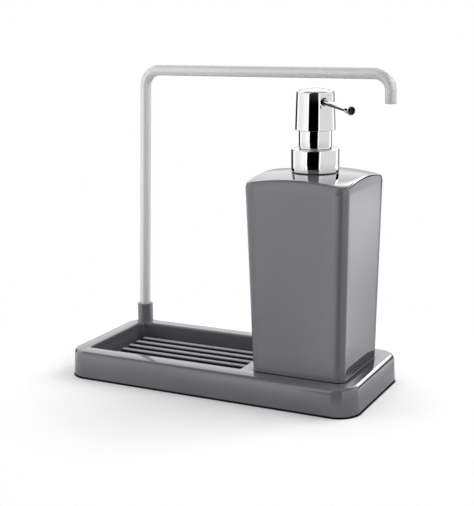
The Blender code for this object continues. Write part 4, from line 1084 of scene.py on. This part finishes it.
LOW_TO_HIGH = [(0.03, 0.0), (0.15, 1.0)]
HEIGHTS = [
    (-1.0, 0.25), (-0.40, 0.40), (-0.30, 0.65), (-0.14, 1.0), (0.70, 1.0), (0.78, 0.12),
    (0.93, 0.12), (0.97, 0.8),
]
# Brighter patches, each with its heights, compass angles and brightness
LOW_LIGHT = (
    [(-0.40, 0.0), (-0.35, 0.9), (-0.26, 0.7), (-0.19, 1.0), (-0.15, 0.0)],
    [(130, 0.0), (140, 1.0), (172, 1.0), (179, 0.0)],
    0.5,
)
HIGH_LIGHT = (
    [(0.37, 0.0), (0.41, 1.0), (0.50, 1.0), (0.54, 0.0)],
    [(154, 0.0), (158, 1.0), (176, 1.0), (179, 0.0)],
    4.0,
)
FAR_LIGHT = (
    [(0.31, 0.0), (0.35, 1.0), (0.50, 1.0), (0.56, 0.0)],
    [(-180, 1.0), (-171, 1.0), (-166, 0.0), (176, 0.0), (179, 1.0)],
    3.0,
)
FRONT_LIGHT = (
    [(-0.42, 0.0), (-0.38, 1.0), (-0.20, 1.0), (-0.17, 0.0)],
    [(-19, 0.0), (-17, 1.0), (-14.5, 1.0), (-13.5, 0.0)],
    0.75,
)
EDGE_LIGHT = (
    [(-0.44, 0.0), (-0.40, 1.0), (-0.20, 1.0), (-0.17, 0.0)],
    [(-156, 0.0), (-152, 1.0), (-110, 1.0), (-106, 0.0)],
    0.6,
)
# Darker patches: one falls on the spout, one on the bottle's right foot
SPOUT_SHADE = (
    [(0.05, 0.0), (0.08, 1.0), (0.26, 1.0), (0.30, 0.0)],
    [(-128, 0.0), (-124, 1.0), (-101, 1.0), (-98, 0.0)],
    -1.1,
)
FOOT_SHADE = (
    [(0.07, 0.0), (0.11, 1.0), (0.33, 1.0), (0.37, 0.0)],
    [(138, 0.0), (142, 1.0), (172, 1.0), (176, 0.0)],
    -1.2,
)
PATCHES = (LOW_LIGHT, HIGH_LIGHT, FAR_LIGHT, FRONT_LIGHT, EDGE_LIGHT, SPOUT_SHADE, FOOT_SHADE)
AMBIENT = 0.52


def make_world():
    """Studio that only polished surfaces see, plain light for the rest, and a white background."""
    world = bpy.data.worlds.new("studio")
    bpy.context.scene.world = world
    world.use_nodes = True
    nodes, links = world.node_tree.nodes, world.node_tree.links
    nodes.clear()
    place = nodes.new("ShaderNodeTexCoord")
    split = nodes.new("ShaderNodeSeparateXYZ")
    links.new(place.outputs["Generated"], split.inputs["Vector"])
    forward = math_node(nodes, links, "MULTIPLY", split.outputs["Y"], -1)
    turn = math_node(nodes, links, "ARCTAN2", split.outputs["X"], forward)
    slant = math_node(nodes, links, "MULTIPLY", split.outputs["Z"], -SURROUND_SLANT)
    turn = math_node(nodes, links, "ADD", turn, slant)
    share = math_node(nodes, links, "MULTIPLY_ADD", turn, 1 / (2 * math.pi))
    share.node.inputs[2].default_value = 0.5
    tall = math_node(nodes, links, "MULTIPLY_ADD", split.outputs["Z"], 0.5)
    tall.node.inputs[2].default_value = 0.5

    def by_angle(stops, peak=1):
        ramp = ramp_node(nodes, [(angle / 360 + 0.5, level / peak) for angle, level in stops])
        links.new(share, ramp.inputs["Fac"])
        return ramp.outputs["Color"]

    def by_height(stops):
        ramp = ramp_node(nodes, [((height + 1) / 2, level) for height, level in stops])
        links.new(tall, ramp.inputs["Fac"])
        return ramp.outputs["Color"]

    surround = nodes.new("ShaderNodeMix")
    surround.data_type = "FLOAT"
    links.new(by_height(LOW_TO_HIGH), surround.inputs["Factor"])
    links.new(by_angle(SURROUND_LOW, SURROUND_PEAK), surround.inputs["A"])
    links.new(by_angle(SURROUND_HIGH, SURROUND_PEAK), surround.inputs["B"])
    seen = math_node(nodes, links, "MULTIPLY", surround.outputs["Result"], by_height(HEIGHTS))
    seen = math_node(nodes, links, "MULTIPLY", seen, SURROUND_PEAK)
    for heights, angles, level in PATCHES:
        patch = math_node(nodes, links, "MULTIPLY", by_height(heights), by_angle(angles))
        patch = math_node(nodes, links, "MULTIPLY", patch, level)
        seen = math_node(nodes, links, "ADD", seen, patch)
    glossy = nodes.new("ShaderNodeBackground")
    links.new(seen, glossy.inputs["Color"])
    ambient = nodes.new("ShaderNodeBackground")
    ambient.inputs["Color"].default_value = (1, 1, 1, 1)
    ambient.inputs["Strength"].default_value = AMBIENT
    white = nodes.new("ShaderNodeBackground")
    white.inputs["Color"].default_value = (1, 1, 1, 1)
    white.inputs["Strength"].default_value = 1.0
    path = nodes.new("ShaderNodeLightPath")
    for_gloss = nodes.new("ShaderNodeMixShader")
    links.new(path.outputs["Is Glossy Ray"], for_gloss.inputs[0])
    links.new(ambient.outputs["Background"], for_gloss.inputs[1])
    links.new(glossy.outputs["Background"], for_gloss.inputs[2])
    for_camera = nodes.new("ShaderNodeMixShader")
    links.new(path.outputs["Is Camera Ray"], for_camera.inputs[0])
    links.new(for_gloss.outputs["Shader"], for_camera.inputs[1])
    links.new(white.outputs["Background"], for_camera.inputs[2])
    output = nodes.new("ShaderNodeOutputWorld")
    links.new(for_camera.outputs["Shader"], output.inputs["Surface"])


def area_light(name, place, aim, size, power):
    light = bpy.data.lights.new(name, "AREA")
    light.shape = "SQUARE"
    light.size = size
    light.energy = power
    lamp = bpy.data.objects.new(name, light)
    bpy.context.scene.collection.objects.link(lamp)
    lamp.location = place
    direction = Vector(aim) - Vector(place)
    lamp.rotation_euler = direction.to_track_quat("-Z", "Y").to_euler()
    lamp.visible_glossy = False


def make_camera():
    """Camera of the photograph: its place, aim, small roll and upward shift of the frame."""
    turn, height, roll = map(math.radians, (CAMERA_TURN, CAMERA_HEIGHT, CAMERA_ROLL))
    away = Vector((
        math.sin(turn) * math.cos(height), -math.cos(turn) * math.cos(height), math.sin(height)
    ))
    level_right = (-away).cross(Vector((0, 0, 1))).normalized()
    level_up = level_right.cross(-away)
    right = level_right * math.cos(roll) + level_up * math.sin(roll)
    up = level_up * math.cos(roll) - level_right * math.sin(roll)
    data = bpy.data.cameras.new("photo_camera")
    data.sensor_width = CAMERA_SENSOR
    data.lens = CAMERA_LENS
    data.shift_y = FRAME_SHIFT / FRAME_HEIGHT
    data.clip_start, data.clip_end = CAMERA_CLIP
    camera = bpy.data.objects.new("photo_camera", data)
    bpy.context.scene.collection.objects.link(camera)
    basis = Matrix((right, up, away)).transposed().to_4x4()
    place = Vector(CAMERA_AIM) + away * CAMERA_DISTANCE
    camera.matrix_world = Matrix.Translation(place) @ basis
    bpy.context.scene.camera = camera


def main():
    make_camera()
    make_world()
    make_floor()
    for lamp in LAMPS:
        area_light(*lamp)
    grey = plastic_finish("grey_gloss_moulding", *GREY_COLOURS, (0.08, 0.13), 0.02, 1.0)
    bottle_grey = plastic_finish("grey_gloss_bottle", *GREY_COLOURS, (0.04, 0.08), 0.02, 1.0)
    shade_foot(bottle_grey)
    satin = metal_finish(
        "satin_grey_tube", *SATIN_COLOURS, (0.33, 0.37), (1, 1, 0.2), brush=0.001, metallic=0.35
    )
    satin.node_tree.nodes["Principled BSDF"].inputs["Specular IOR Level"].default_value = 0.3
    chrome = metal_finish(
        "bright_plating", *CHROME_COLOURS, (0.015, 0.05), brush=0.004, scale=60
    )
    white = plastic_finish("white_moulding", *WHITE_COLOURS, (0.35, 0.5))
    clear = clear_finish("milky_tube", MILKY_COLOUR)
    rubber = rubber_finish("black_rubber")
    steel = metal_finish("bright_wire", *STEEL_COLOURS, (0.12, 0.3), brush=0.05)
    finish_inner_nodes(white, clear, rubber, steel)
    shade_dish(grey)
    make_tray(grey, rib_finish("rib_moulding"))
    make_rail(satin)
    make_bottle(bottle_grey)
    make_neck_thread(bottle_grey)
    make_spring(steel)
    make_collar(chrome)
    make_chimney(chrome)
    make_head(chrome)
    # The spout's plating carries the painted dark reflection line
    tube_chrome = chrome.copy()
    tube_chrome.name = "bright_plating_tube"
    shade_spout(tube_chrome)
    bore_shade = plastic_finish("bore_shade", *BORE_COLOURS, (0.25, 0.40))
    make_spout(chrome, tube_chrome, bore_shade)
    bpy.context.scene.view_settings.view_transform = "Standard"


main()
